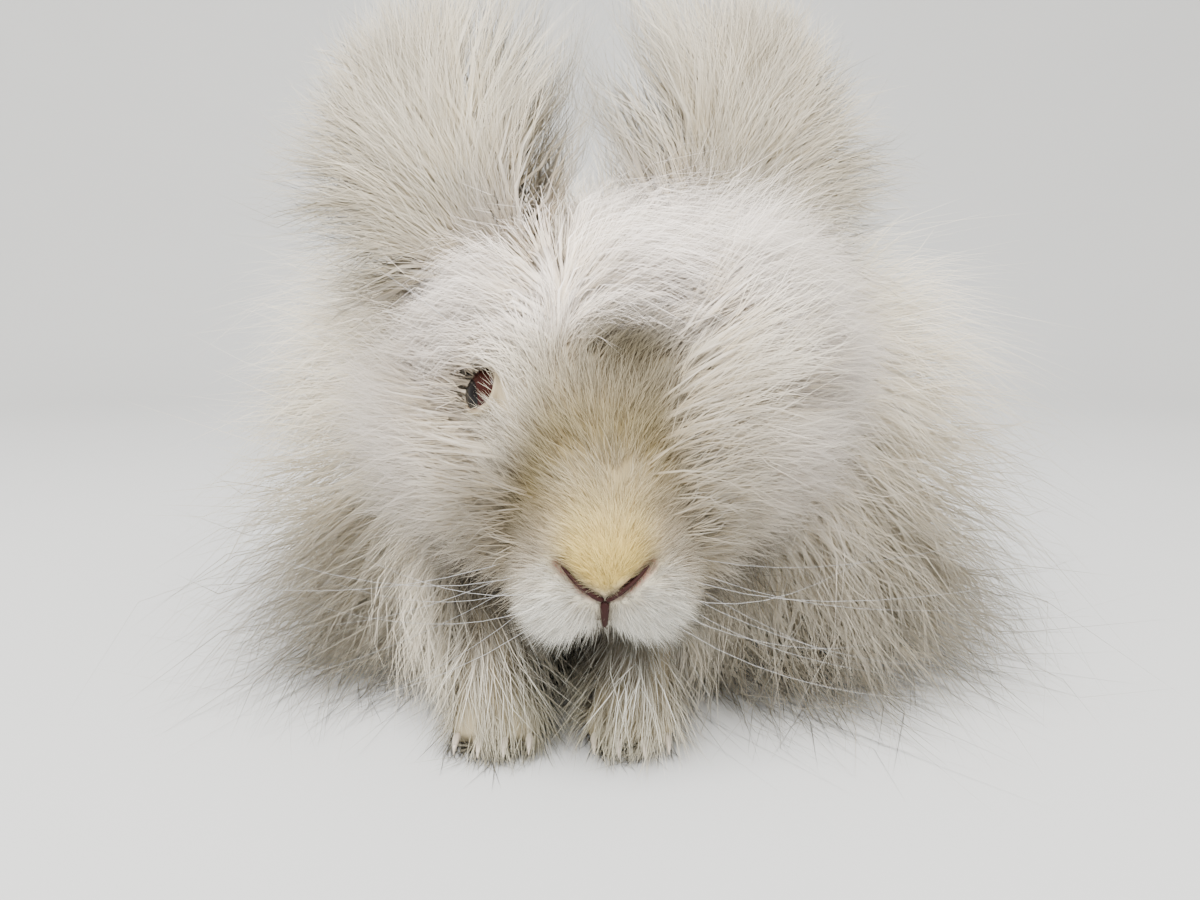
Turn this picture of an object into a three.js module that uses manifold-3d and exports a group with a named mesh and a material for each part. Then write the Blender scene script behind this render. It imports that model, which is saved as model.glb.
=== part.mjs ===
// A life-size English Angora rabbit, crouched on its belly with its head up and both ears raised.
// Millimetres, +Z up. The nose points along -Y, and the floor is z = 0 under the middle of the coat.
import * as THREE from "three";
import { mergeVertices } from "three/addons/utils/BufferGeometryUtils.js";
import Module from "manifold-3d";

const wasm = await Module();
wasm.setup();

const vec = (x, y, z) => new THREE.Vector3(x, y, z);
const { degToRad, lerp } = THREE.MathUtils;

// Driving dimensions of the whole animal
const GAP = 0.3; // left between two pieces that touch
const NOSE = vec(-9, -169, 50); // the point where the two nostrils meet the lip
const HEAD_LENGTH = 100; // from the nose to the back of the skull
const HEAD_PITCH = degToRad(36); // the skull's axis above the horizontal
const BODY_CENTRE = vec(0, 24, 78);
const COAT = { side: 152, along: 147, up: 90, down: 76 }; // half sizes of the body out to the tips of its wool
const CORE = { side: 106, along: 114, up: 64, down: 63 }; // half sizes of the dense wool that the locks grow from
const TIP_FLOOR = 2.5; // the lowest that a lock's tip hangs

// Colours
const WOOL = 0xd6d2cc;
const FACE = 0xcfc3a6;
const EYE = 0x2a1512;
const HORN = 0xb7a48c;

// A repeatable random number from 0 to 1
function seeded(seed) {
  let state = seed;
  return () => {
    state = (state + 0x6d2b79f5) | 0;
    let mixed = Math.imul(state ^ (state >>> 15), 1 | state);
    mixed = (mixed + Math.imul(mixed ^ (mixed >>> 7), 61 | mixed)) ^ mixed;
    return ((mixed ^ (mixed >>> 14)) >>> 0) / 4294967296;
  };
}

// A closed three.js geometry as a solid, with the vertices on its seams merged
function solidOf(geometry) {
  const bare = geometry.index ? geometry.toNonIndexed() : geometry.clone();
  bare.deleteAttribute("normal");
  bare.deleteAttribute("uv");
  const merged = mergeVertices(bare, 1e-4);
  const vertProperties = merged.attributes.position.array;
  const triVerts = new Uint32Array(merged.index.array);
  const solid = new wasm.Manifold(new wasm.Mesh({ numProp: 3, vertProperties, triVerts }));
  if (solid.volume() > 0) return solid;
  triVerts.reverse(); // a mapping that mirrors leaves the faces pointing in
  return new wasm.Manifold(new wasm.Mesh({ numProp: 3, vertProperties, triVerts }));
}

// A solid as a named mesh: only its largest closed surface is kept
function meshOf(name, solid, colour, roughness) {
  const bodies = solid.decompose();
  const largest = bodies.reduce((a, b) => (b.volume() > a.volume() ? b : a));
  const shape = largest.getMesh();
  const stride = shape.numProp;
  const places = new Float32Array(shape.numVert * 3);
  for (let i = 0; i < shape.numVert; i++) {
    places.set(shape.vertProperties.subarray(i * stride, i * stride + 3), i * 3);
  }
  const geometry = new THREE.BufferGeometry();
  geometry.setAttribute("position", new THREE.BufferAttribute(places, 3));
  geometry.setIndex(new THREE.BufferAttribute(shape.triVerts, 1));
  const material = new THREE.MeshStandardMaterial({ color: colour, roughness, metalness: 0 });
  const mesh = new THREE.Mesh(geometry, material);
  mesh.name = name;
  return mesh;
}

const fuse = (solids) => solids.reduce((whole, next) => whole.add(next));

// Moves every vertex of a geometry to place(vertex)
function shaped(geometry, place) {
  const position = geometry.attributes.position;
  const vertex = new THREE.Vector3();
  for (let i = 0; i < position.count; i++) {
    vertex.fromBufferAttribute(position, i);
    const moved = place(vertex.clone());
    position.setXYZ(i, moved.x, moved.y, moved.z);
  }
  return geometry;
}

const ball = (around, along) => new THREE.SphereGeometry(1, around, along);

// An ellipsoid at a place, tilted by an angle in degrees about the X axis
function ellipsoid(centre, radii, tilt, around, along, grow) {
  const tip = new THREE.Euler(degToRad(tilt), 0, 0);
  return solidOf(
    shaped(ball(around, along), (d) =>
      vec(d.x * (radii[0] + grow), d.y * (radii[1] + grow), d.z * (radii[2] + grow))
        .applyEuler(tip)
        .add(centre),
    ),
  );
}

// Smooth interpolation through a few [place, value] pairs
function profile(pairs) {
  const last = pairs.length - 1;
  return (at) => {
    if (at <= pairs[0][0]) return pairs[0][1];
    if (at >= pairs[last][0]) return pairs[last][1];
    const i = pairs.findIndex((pair) => pair[0] > at) - 1;
    const t = (at - pairs[i][0]) / (pairs[i + 1][0] - pairs[i][0]);
    const [a, b, c, d] = [Math.max(i - 1, 0), i, i + 1, Math.min(i + 2, last)].map((k) => pairs[k][1]);
    const rise = (2 * t - 3) * t * t + 1;
    const swing = ((t - 2) * t * t + t) * ((c - a) / 2) + (t - 1) * t * t * ((d - b) / 2);
    return rise * b + (1 - rise) * c + swing;
  };
}

// A limb: a ball drawn out along a smooth path, with a half width and a half height at each share of it
function limb(points, width, height, around, along, grow) {
  const path = new THREE.CatmullRomCurve3(points.map((p) => vec(...p)));
  const up = vec(0, 0, 1);
  return solidOf(
    shaped(ball(around, along), (d) => {
      const share = (1 - d.y) / 2;
      const tangent = path.getTangent(share);
      const side = new THREE.Vector3().crossVectors(tangent, up).normalize();
      const rise = new THREE.Vector3().crossVectors(side, tangent).normalize();
      const radial = Math.hypot(d.x, d.z) || 1e-9;
      const round = Math.pow(radial, 0.55);
      return path
        .getPoint(share)
        .addScaledVector(tangent, -d.y * grow)
        .addScaledVector(side, (d.x / radial) * round * (width(share) + grow))
        .addScaledVector(rise, (d.z / radial) * round * (height(share) + grow));
    }),
  );
}

// Locks
// A lock is flat, ridged on its outer side and tapered. It leaves the skin steeply and bends over to its tip.
const lockWidth = (t) => Math.pow(1 - t, 0.6) * (0.72 + 0.85 * t);

function lockSolid({ root, out, tip, width, thick, sink = 9, lift = 0.62, sway = 0 }, grow) {
  const way = tip.clone().sub(root);
  const reach = way.length();
  const side = new THREE.Vector3().crossVectors(way, out);
  if (side.length() < reach * 0.05) side.crossVectors(way, vec(0.3, 0.2, 0.9));
  side.normalize();
  const bend = root.clone().addScaledVector(out, lift * way.dot(out)).addScaledVector(way, 0.14);
  const path = new THREE.QuadraticBezierCurve3(root.clone().addScaledVector(out, -sink), bend, tip);
  const edge = (6 * thick) / 7 + 1; // a thin lock's edges move out by more than its faces
  return solidOf(
    shaped(new THREE.ConeGeometry(1, 1, 3, 3), (p) => {
      const t = Math.pow(p.y + 0.5, 0.85);
      const radial = Math.hypot(p.x, p.z) || 1;
      const middle = path.getPoint(t).addScaledVector(side, sway * t * Math.sin(4 * t));
      const tangent = path.getTangent(t);
      if (t > 0.999) return middle.addScaledVector(tangent, 3 * grow);
      const face = new THREE.Vector3().crossVectors(side, tangent).normalize();
      const half = (0.5 * width * lockWidth(t) + edge * grow) / 0.866;
      const ridge = (thick * (1 - 0.65 * t)) / 1.5 + 2 * grow;
      return middle
        .addScaledVector(side, (p.x / radial) * half)
        .addScaledVector(face, (p.z / radial) * ridge);
    }),
  );
}

// The floor, as a slab to cut feet flat on
const floor = solidOf(new THREE.BoxGeometry(800, 800, 100).translate(0, 0, -50));

// Body
// A super-ellipsoid is squarer in plan than an ellipse, and its skirt falls nearly straight to the floor.
function bodySurface(direction, half) {
  const plan = 2.7;
  const rise = direction.z > 0 ? 2.15 : 4.5;
  const tall = direction.z > 0 ? half.up : half.down;
  const flat = Math.pow(
    Math.pow(Math.abs(direction.x) / half.side, plan) + Math.pow(Math.abs(direction.y) / half.along, plan),
    rise / plan,
  );
  const size = Math.pow(flat + Math.pow(Math.abs(direction.z) / tall, rise), 1 / rise);
  return direction.clone().divideScalar(size).add(BODY_CENTRE);
}

// The lie of the body's wool: back along the spine, down the sides, down and outward on the chest and rump
function bodyLie(d) {
  const lie = vec(0.6 * d.x, 0.5, -1.1 * (1 - Math.max(d.z, 0)));
  return lie.addScaledVector(d, -lie.dot(d)).normalize();
}

// Where a lock of body wool that is rooted at a place ends, on the outline of the coat
function bodyTip(root, lean, short) {
  const d = root.clone().sub(BODY_CENTRE);
  const unit = vec(d.x / COAT.side, d.y / COAT.along, d.z / (d.z > 0 ? COAT.up : COAT.down)).normalize();
  const turned = unit.clone().addScaledVector(bodyLie(unit), lean);
  turned.set(turned.x * COAT.side, turned.y * COAT.along, turned.z * (turned.z > 0 ? COAT.up : COAT.down));
  const tip = bodySurface(turned.normalize(), COAT);
  tip.addScaledVector(turned, -short);
  tip.z = Math.max(tip.z, TIP_FLOOR);
  return tip;
}

// Directions spread evenly over a ball
function spread(count) {
  const golden = Math.PI * (3 - Math.sqrt(5));
  return Array.from({ length: count }, (_, i) => {
    const z = 1 - (2 * i + 1) / count;
    const around = i * golden;
    return vec(Math.sqrt(1 - z * z) * Math.cos(around), Math.sqrt(1 - z * z) * Math.sin(around), z);
  });
}

// Locks of body wool rooted on a rounded form. surface(d) gives the root and the way out of the form there.
function bodyLocks({ count, surface, keep, width, thick, lean, seed }, grow) {
  const random = seeded(seed);
  const locks = [];
  for (const d of spread(count)) {
    const vary = [random(), random(), random()];
    const { root, out } = surface(d);
    if (!keep(root, out)) continue;
    const tip = bodyTip(root, lean * lerp(0.75, 1.25, vary[0]), 8 * vary[1]);
    const astray = new THREE.Vector3().crossVectors(tip.clone().sub(root), out).normalize();
    tip.addScaledVector(astray, (vary[2] - 0.5) * 0.5 * width);
    const size = width * lerp(0.85, 1.15, vary[0]);
    locks.push(lockSolid({ root, out, tip, width: size, thick, sway: 10 * (vary[1] - 0.5) }, grow));
  }
  return locks;
}

function onEllipsoid(centre, radii) {
  return (d) => ({
    root: vec(d.x * radii[0], d.y * radii[1], d.z * radii[2]).add(centre),
    out: vec(d.x / radii[0], d.y / radii[1], d.z / radii[2]).normalize(),
  });
}

// Whether a place lies inside an ellipsoid that is made larger by a margin
function inside(place, { centre, radii }, margin) {
  const d = place.clone().sub(centre);
  return Math.hypot(...radii.map((r, i) => d.getComponent(i) / (r + margin))) < 1;
}

// Head
// Places on the head are given as h back from the nose, x to the side and v above the skull's axis.
const HEAD_BACK = vec(0, Math.cos(HEAD_PITCH), Math.sin(HEAD_PITCH));
const HEAD_UP = vec(0, -Math.sin(HEAD_PITCH), Math.cos(HEAD_PITCH));

function onHead(h, x, v) {
  return NOSE.clone().addScaledVector(HEAD_BACK, h).addScaledVector(HEAD_UP, v).add(vec(x, 0, 0));
}

const headWidth = profile([
  [0, 16], [8, 20.5], [18, 24], [32, 28.5], [46, 33], [60, 37], [76, 38], [90, 34], [100, 27],
]);
const headTop = profile([
  [0, 10], [8, 16], [20, 24], [35, 31], [50, 35], [64, 37], [78, 37], [90, 33], [100, 24],
]);
const headBottom = profile([
  [0, 12], [8, 16], [18, 21], [32, 27], [48, 32], [64, 34], [78, 32], [90, 27], [100, 20],
]);

// Swellings of the face: centre (h, x, v), reach and height, on both sides where x isn't 0
const SWELLINGS = [
  { at: [5, 11, -6], reach: 8, height: 4.5 }, // whisker pads
  { at: [3, 0, 7], reach: 6, height: 2 }, // nose
  { at: [17, 0, -19], reach: 7, height: 3 }, // chin
  { at: [62, 27, -15], reach: 22, height: 6 }, // cheeks
  { at: [50, 21, 25], reach: 11, height: 3.5 }, // brows
];

// A place on the skin of the head at h, an angle round the axis from straight up, and how far it stands out
function headPlace(h, angle, end, along, grow) {
  const [across, over] = [Math.sin(angle), Math.cos(angle)];
  const soft = (a) => Math.sign(a) * Math.pow(Math.abs(a), 0.92);
  const x = soft(across) * headWidth(h) * end;
  const v = soft(over) * (over > 0 ? headTop(h) : headBottom(h)) * end;
  let swell = 0;
  for (const { at, reach, height } of SWELLINGS) {
    const off = Math.hypot(h - at[0], Math.abs(x) - at[1], v - at[2]);
    swell += height * Math.exp(-Math.pow(off / reach, 2));
  }
  const out = vec(across * end, along, over * end).normalize().multiplyScalar(swell + grow);
  return onHead(h - out.y, x + out.x, v + out.z);
}

function headSurface(d, grow) {
  const h = ((1 - d.y) / 2) * HEAD_LENGTH;
  const nose = Math.sqrt(1 - Math.pow(1 - Math.min(h / 9, 1), 2));
  const nape = Math.sqrt(1 - Math.pow(1 - Math.min((HEAD_LENGTH - h) / 24, 1), 2));
  return headPlace(h, Math.atan2(d.x, d.z), nose * nape, d.y, grow);
}

const EYE_RADIUS = 8.6;
const eyeCentre = (side) => onHead(52, side * 26.5, 17);
// The way the eye looks: mostly sideways, a little forward and up
const eyeLook = (side) =>
  vec(side * 0.88, 0, 0).addScaledVector(HEAD_BACK, -0.3).addScaledVector(HEAD_UP, 0.18).normalize();

function eyeSolid(side, grow) {
  return ellipsoid(eyeCentre(side), Array(3).fill(EYE_RADIUS), 0, 10, 7, grow);
}

// Both lids of one eye: a thick shell round the eyeball with an almond opening
const LID = { outer: 10.6, length: 7.4, height: 5.2 };
function lidSolid(side, grow) {
  return ellipsoid(eyeCentre(side), Array(3).fill(LID.outer), 0, 10, 7, grow);
}

// The opening between the lids, as a bar that runs out of the eye
function eyeOpening(side) {
  const bar = 24;
  const turn = new THREE.Quaternion().setFromUnitVectors(vec(0, 1, 0), eyeLook(side));
  return solidOf(
    shaped(new THREE.CylinderGeometry(1, 1, bar, 10), (p) =>
      vec(p.x * LID.height, p.y + bar / 2, p.z * LID.length).applyQuaternion(turn).add(eyeCentre(side)),
    ),
  );
}

// A round groove cut along a curve on the head
function groove(points, radius) {
  const path = new THREE.CatmullRomCurve3(points.map((p) => onHead(...p)));
  const section = new THREE.Shape().absellipse(0, 0, radius, radius, 0, Math.PI * 2);
  return solidOf(
    new THREE.ExtrudeGeometry(section, { steps: 4, curveSegments: 2, bevelEnabled: false, extrudePath: path }),
  );
}

function faceCuts() {
  const cuts = [groove([[-1, 0, -1], [-1.5, 0, -6], [0, 0, -12]], 0.9)]; // the split of the upper lip
  for (const side of [-1, 1]) {
    cuts.push(groove([[-1.5, side * 0.5, 0], [0, side * 5, 2.5], [4, side * 11, 6.5]], 1.2)); // nostril
    cuts.push(groove([[2, side * 0.2, -11.5], [6, side * 6, -13.5], [14, side * 12, -13.5]], 0.9)); // mouth
    cuts.push(eyeOpening(side));
  }
  return fuse(cuts);
}

// Long hair of the cheeks, rooted in rows round each side of the head and combed outward, back and down
const CHEEK = [
  { h: 38, angles: [74, 106, 138], length: 36, width: 30 },
  { h: 56, angles: [58, 90, 122, 150], length: 46, width: 34 },
  { h: 76, angles: [46, 78, 110], length: 50, width: 36 },
];
function cheekLocks(grow) {
  const random = seeded(11);
  const locks = [];
  for (const side of [-1, 1]) {
    for (const { h, angles, length, width } of CHEEK) {
      for (const degrees of angles) {
        const vary = [random(), random(), random()];
        const angle = side * degToRad(degrees);
        const root = headPlace(h, angle, 1, 0, 0);
        const out = vec(Math.sin(angle), 0, 0).addScaledVector(HEAD_UP, Math.cos(angle));
        const tip = root
          .clone()
          .addScaledVector(out, length * lerp(0.62, 0.82, vary[0]))
          .addScaledVector(HEAD_BACK, length * lerp(0.25, 0.5, vary[1]))
          .add(vec(0, 0, -6 - 8 * vary[2]));
        locks.push(lockSolid({ root, out, tip, width, thick: 6, sink: 7 }, grow));
      }
    }
  }
  return locks;
}

// Forelock and crown: each lock's root as h and the angle from straight up, and the place its tip has
// beyond the nose. Most of the forelock sweeps to the animal's left, over its left eye.
const CROWN = [
  { h: 56, angle: -18, tip: [-34, 52, 92] },
  { h: 56, angle: 8, tip: [46, 44, 82] },
  { h: 50, angle: 38, tip: [66, 52, 58] },
  { h: 62, angle: 30, tip: [74, 62, 74] },
  { h: 68, angle: -36, tip: [-58, 66, 84] },
  { h: 72, angle: -4, tip: [-8, 72, 103] },
  { h: 76, angle: 18, tip: [28, 76, 100] },
  { h: 84, angle: -26, tip: [-30, 88, 104] },
  { h: 84, angle: 4, tip: [8, 96, 106] },
  { h: 70, angle: 58, tip: [82, 78, 62] },
  { h: 66, angle: -62, tip: [-76, 72, 62] },
];
function crownLocks(grow) {
  return CROWN.map(({ h, angle, tip }) => {
    const turn = degToRad(angle);
    const root = headPlace(h, turn, 1, 0, 0);
    const out = vec(Math.sin(turn), 0, 0).addScaledVector(HEAD_UP, Math.cos(turn));
    return lockSolid({ root, out, tip: NOSE.clone().add(vec(...tip)), width: 26, thick: 6, sink: 7, sway: 3 }, grow);
  });
}

function headSolid(grow) {
  const skull = solidOf(shaped(ball(22, 18), (d) => headSurface(d, grow)));
  let face = fuse([skull, lidSolid(-1, grow), lidSolid(1, grow)]);
  if (grow === 0) face = face.subtract(faceCuts());
  return fuse([face, ...cheekLocks(grow), ...crownLocks(grow)]);
}

// Neck
const NECK = { centre: vec(-5, -74, 100), radii: [46, 34, 40] };
const neckKeep = (root, out) => out.y < 0.75 && out.z > -0.2 && root.y > -92;
function neckSolid(grow) {
  const flesh = ellipsoid(NECK.centre, NECK.radii, 0, 12, 8, grow);
  const surface = onEllipsoid(NECK.centre, NECK.radii);
  const wool = { count: 20, surface, keep: neckKeep, width: 36, thick: 6.5, lean: 0.2, seed: 5 };
  return fuse([flesh, ...bodyLocks(wool, grow)]);
}

// Ears
// A cupped blade with a fringe of long hair that fans out from its edges and tip
const EARS = {
  right: { side: -1, base: onHead(88, -25, 24), axis: vec(-0.5, 0.38, 0.8).normalize() },
  left: { side: 1, base: onHead(88, 25, 24), axis: vec(0.33, 0.42, 0.84).normalize() },
};
const EAR = { length: 92, halfWidth: 20, thick: 3.6, cup: 11, root: 10 };
const FRINGE = { length: 36, width: 30, thick: 3.4, sink: 6, along: [0.22, 0.5, 0.8] };
const earBreadth = profile([[0, 0.5], [0.15, 0.62], [0.4, 0.95], [0.6, 1], [0.8, 0.86], [1, 0.5]]);

// The ear's own directions: open is the way its hollow faces, across runs from edge to edge
function earFrame(ear) {
  const open = vec(ear.side * 0.42, -0.9, 0.1);
  open.addScaledVector(ear.axis, -open.dot(ear.axis)).normalize();
  return { open, across: new THREE.Vector3().crossVectors(ear.axis, open).normalize() };
}

// A place on the blade's middle surface: share runs from base to tip, u from edge to edge
function earPlace(ear, share, u, end) {
  const { open, across } = earFrame(ear);
  const cup = EAR.cup * (1 - 0.45 * share);
  return ear.base
    .clone()
    .addScaledVector(ear.axis, -EAR.root + share * (EAR.length + EAR.root))
    .addScaledVector(across, u * EAR.halfWidth * earBreadth(share) * end)
    .addScaledVector(open, cup * (u * u - 0.5) * end);
}

function bladeSolid(ear, grow) {
  const { open, across } = earFrame(ear);
  return solidOf(
    shaped(ball(12, 10), (d) => {
      const share = (1 + d.y) / 2;
      const end = Math.pow(Math.max(1 - d.y * d.y, 0), 0.3);
      const radial = Math.hypot(d.x, d.z) || 1e-9;
      const u = d.x / radial;
      return earPlace(ear, share, u, end)
        .addScaledVector(open, (d.z / radial) * (EAR.thick / 2 + grow) * end)
        .addScaledVector(across, u * grow)
        .addScaledVector(ear.axis, d.y * grow);
    }),
  );
}

function fringeLocks(ear, grow) {
  const { open, across } = earFrame(ear);
  const random = seeded(ear.side + 40);
  const locks = [];
  const add = (share, u, fan) => {
    const vary = random();
    const root = earPlace(ear, share, u * 0.96, 1);
    const out = across.clone().multiplyScalar(Math.sin(fan)).addScaledVector(ear.axis, Math.cos(fan)).normalize();
    const tip = root
      .clone()
      .addScaledVector(out, FRINGE.length * lerp(0.85, 1.1, vary))
      .addScaledVector(open, 5 * (random() - 0.6));
    // the flat of a fringe lock lies in the blade, so its ridge is turned to the ear's opening
    locks.push(fringeLock({ root, out, tip, face: open }, grow));
  };
  for (const edge of [-1, 1]) {
    for (const share of FRINGE.along) add(share, edge, edge * degToRad(lerp(78, 22, share)));
  }
  for (const u of [-0.4, 0.4]) add(0.96, u, degToRad(26 * u));
  return locks;
}

// A straight flat lock whose root is sunk along its own length
function fringeLock({ root, out, tip, face }, grow) {
  const start = root.clone().addScaledVector(out, -FRINGE.sink);
  const side = new THREE.Vector3().crossVectors(out, face).normalize();
  const ridgeWay = new THREE.Vector3().crossVectors(side, out).normalize();
  const droop = tip.clone().lerp(root, 0.5).addScaledVector(out, 4);
  const path = new THREE.QuadraticBezierCurve3(start, droop, tip);
  return solidOf(
    shaped(new THREE.ConeGeometry(1, 1, 3, 3), (p) => {
      const t = p.y + 0.5;
      const radial = Math.hypot(p.x, p.z) || 1;
      const middle = path.getPoint(t);
      if (t > 0.999) return middle.addScaledVector(out, 3 * grow);
      const half = (0.5 * FRINGE.width * lockWidth(t) + 3 * grow) / 0.866;
      const ridge = (FRINGE.thick * (1 - 0.5 * t)) / 1.5 + 2 * grow;
      return middle
        .addScaledVector(side, (p.x / radial) * half)
        .addScaledVector(ridgeWay, (p.z / radial) * ridge - FRINGE.thick / 6);
    }),
  );
}

function earSolid(ear, grow) {
  return fuse([bladeSolid(ear, grow), ...fringeLocks(ear, grow)]);
}

// Legs
const FOREPAW = { x: { right: -38, left: -2 }, tip: -149 };
const HINDPAW = { x: 88, tip: -46 };
const TOES = [-9.6, -3.3, 3.3, 9.6]; // across a foot
const TOE = { width: 4, length: 9, height: 6.4, level: 5.2 };
const CLAW = { radius: 1.4, length: 8, out: 4 };

// How far a toe stands behind the longest one
const toeBack = (across) => Math.abs(across) * 0.3;

function toes(x, tip, grow) {
  return TOES.map((across) => {
    const middle = vec(x + across, tip + TOE.length + toeBack(across), TOE.level);
    return ellipsoid(middle, [TOE.width, TOE.length, TOE.height], 0, 7, 5, grow);
  });
}

// A claw: a cone that bends down, with its root sunk in the toe
function clawSolid(x, tip, across, grow) {
  return solidOf(
    shaped(new THREE.CylinderGeometry(0.12, 1, 1, 4, 2), (p) => {
      const share = p.y + 0.5;
      const radius = CLAW.radius + grow;
      const ahead = CLAW.length - CLAW.out - share * (CLAW.length + grow) + toeBack(across);
      const drop = TOE.level - 0.4 - 2.2 * share * share;
      return vec(x + across + p.x * radius, tip + ahead, drop + p.z * radius);
    }),
  );
}

// Short feathering on the sides of the forearm, from wrist to elbow
function featherLocks(foot, side, grow) {
  const random = seeded(foot + 90);
  const locks = [];
  for (const way of [-1, 1]) {
    for (const share of [0.2, 0.8]) {
      const root = vec(foot + way * 12 + side * 6 * share, lerp(-130, -112, share), lerp(24, 42, share));
      const out = vec(way * 0.8, -0.5, 0.1).normalize();
      const tip = root.clone().add(vec(way * 8, -7 - 3 * random(), -19 - 3 * random()));
      locks.push(lockSolid({ root, out, tip, width: 20, thick: 4, sink: 5 }, grow));
    }
  }
  return locks;
}

function forelegSolid(name, side, grow) {
  const foot = FOREPAW.x[name];
  const points = [
    [foot, FOREPAW.tip + 4, 7.5],
    [foot, -136, 9],
    [foot + side * 2, -125, 25],
    [foot + side * 8, -108, 44],
    [foot + side * 20, -90, 54],
  ];
  const width = profile([[0, 13], [0.25, 15], [0.6, 15], [1, 17]]);
  const height = profile([[0, 9], [0.25, 12], [0.6, 14], [1, 17]]);
  const arm = limb(points, width, height, 10, 8, grow);
  return fuse([arm, ...toes(foot, FOREPAW.tip, grow), ...featherLocks(foot, side, grow)]);
}

const HAUNCH = { x: 71, y: 82, z: 60, radii: [38, 56, 47] };
function hindlegSolid(side, grow) {
  const centre = vec(side * HAUNCH.x, HAUNCH.y, HAUNCH.z);
  const haunch = ellipsoid(centre, HAUNCH.radii, 0, 12, 9, grow);
  const sole = [
    [side * HINDPAW.x, HINDPAW.tip + 4, 8],
    [side * HINDPAW.x, -8, 8],
    [side * 85, 34, 10],
    [side * 80, 72, 26],
  ];
  const foot = limb(sole, profile([[0, 13], [1, 13]]), profile([[0, 9.5], [1, 13]]), 10, 8, grow);
  const wool = {
    count: 29,
    surface: onEllipsoid(centre, HAUNCH.radii),
    keep: (root, out) => out.z > -0.7 && !insideCore(root, 2),
    width: 40,
    thick: 7,
    lean: 0.36,
    seed: 21,
  };
  return fuse([haunch, foot, ...toes(side * HINDPAW.x, HINDPAW.tip, grow), ...bodyLocks(wool, grow)]);
}

// Tail
const TAIL = { centre: vec(2, 142, 72), radii: [17, 16, 24] };
function tailSolid(grow) {
  const flesh = ellipsoid(TAIL.centre, TAIL.radii, 0, 10, 8, grow);
  const wool = {
    count: 18,
    surface: onEllipsoid(TAIL.centre, TAIL.radii),
    keep: (root, out) => out.y > 0.2,
    width: 17,
    thick: 4.5,
    lean: 0.1,
    seed: 31,
  };
  return fuse([flesh, ...bodyLocks(wool, grow)]);
}

// Torso
function coreSurface(d) {
  const root = bodySurface(d, CORE);
  const step = 0.02;
  const [a, b] = [vec(0, 0, 1), vec(1, 0, 0)].map((axis) => new THREE.Vector3().crossVectors(d, axis));
  if (a.length() < 0.3) a.crossVectors(d, vec(0, 1, 0));
  b.crossVectors(d, a);
  const near = [a, b].map((way) => bodySurface(d.clone().addScaledVector(way, step).normalize(), CORE).sub(root));
  const out = new THREE.Vector3().crossVectors(near[0], near[1]).normalize();
  return { root, out: out.dot(d) > 0 ? out : out.negate() };
}

function insideCore(place, margin) {
  const d = place.clone().sub(BODY_CENTRE);
  return d.length() < bodySurface(d.clone().normalize(), CORE).sub(BODY_CENTRE).length() - margin;
}

// The lowest wool, in one row round the belly from shoulder to shoulder, hangs out and down to the floor
const SKIRT = { count: 24, level: 27, gap: 48, width: 38, thick: 7 };
function skirtLocks(grow) {
  const random = seeded(17);
  const locks = [];
  for (let i = 0; i < SKIRT.count; i++) {
    const vary = [random(), random()];
    const around = ((i + 0.5) / SKIRT.count) * 2 * Math.PI;
    const d = vec(Math.sin(around), -Math.cos(around), 0);
    const rim = bodySurface(d, CORE);
    if (d.y < 0 && Math.abs(rim.x) < SKIRT.gap) continue; // the forelegs stand there
    const outer = bodySurface(d, COAT);
    const root = vec(lerp(rim.x, 0, 0.06), lerp(rim.y, BODY_CENTRE.y, 0.06), SKIRT.level);
    const out = vec(d.x, d.y, -0.35).normalize();
    const tip = rim.clone().lerp(outer, lerp(0.5, 0.72, vary[0])).setZ(TIP_FLOOR + 2 + 2 * vary[1]);
    locks.push(lockSolid({ root, out, tip, width: SKIRT.width, thick: SKIRT.thick, sway: 3 }, grow));
  }
  return locks;
}

function torsoSolid(grow) {
  const core = solidOf(
    shaped(ball(20, 12).rotateX(Math.PI / 2), (d) => {
      const { root, out } = coreSurface(d.clone().normalize());
      return root.addScaledVector(out, grow);
    }),
  );
  const haunches = [-1, 1].map((side) => ({ centre: vec(side * HAUNCH.x, HAUNCH.y, HAUNCH.z), radii: HAUNCH.radii }));
  const wool = {
    count: 134,
    surface: coreSurface,
    keep: (root, out) =>
      out.z > -0.72 &&
      !haunches.some((haunch) => inside(root, haunch, 2)) &&
      !inside(root, NECK, 4) &&
      !inside(root, TAIL, 4) &&
      !inside(root, { centre: onHead(52, 0, 0), radii: [56, 56, 56] }, 0),
    width: 42,
    thick: 7,
    lean: 0.42,
    seed: 3,
  };
  return fuse([core, ...bodyLocks(wool, grow), ...skirtLocks(grow)]);
}

// Nodes, each cut clear of those made before it
const rabbit = new THREE.Group();
const placed = [];

function place(name, make, colour, roughness = 0.9) {
  let solid = make(0).subtract(floor);
  for (const other of placed) solid = solid.subtract(other);
  rabbit.add(meshOf(name, solid, colour, roughness));
  placed.push(make(GAP));
}

const sides = { right: -1, left: 1 };
for (const [name, side] of Object.entries(sides)) {
  place(`eye_${name}`, (grow) => eyeSolid(side, grow), EYE, 0.1);
}
place("head", headSolid, FACE);
for (const [name, ear] of Object.entries(EARS)) {
  place(`ear_${name}`, (grow) => earSolid(ear, grow), WOOL);
}
for (const [name, side] of Object.entries(sides)) {
  const feet = { fore: [FOREPAW.x[name], FOREPAW.tip], hind: [side * HINDPAW.x, HINDPAW.tip] };
  for (const [foot, [x, tip]] of Object.entries(feet)) {
    TOES.forEach((across, i) => {
      place(`claw_${foot}_${name}_${i + 1}`, (grow) => clawSolid(x, tip, across, grow), HORN, 0.4);
    });
  }
  place(`foreleg_${name}`, (grow) => forelegSolid(name, side, grow), WOOL);
  place(`hindleg_${name}`, (grow) => hindlegSolid(side, grow), WOOL);
}
place("tail", tailSolid, WOOL);
place("neck", neckSolid, WOOL);
place("torso", torsoSolid, WOOL);

export default rabbit;
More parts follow.
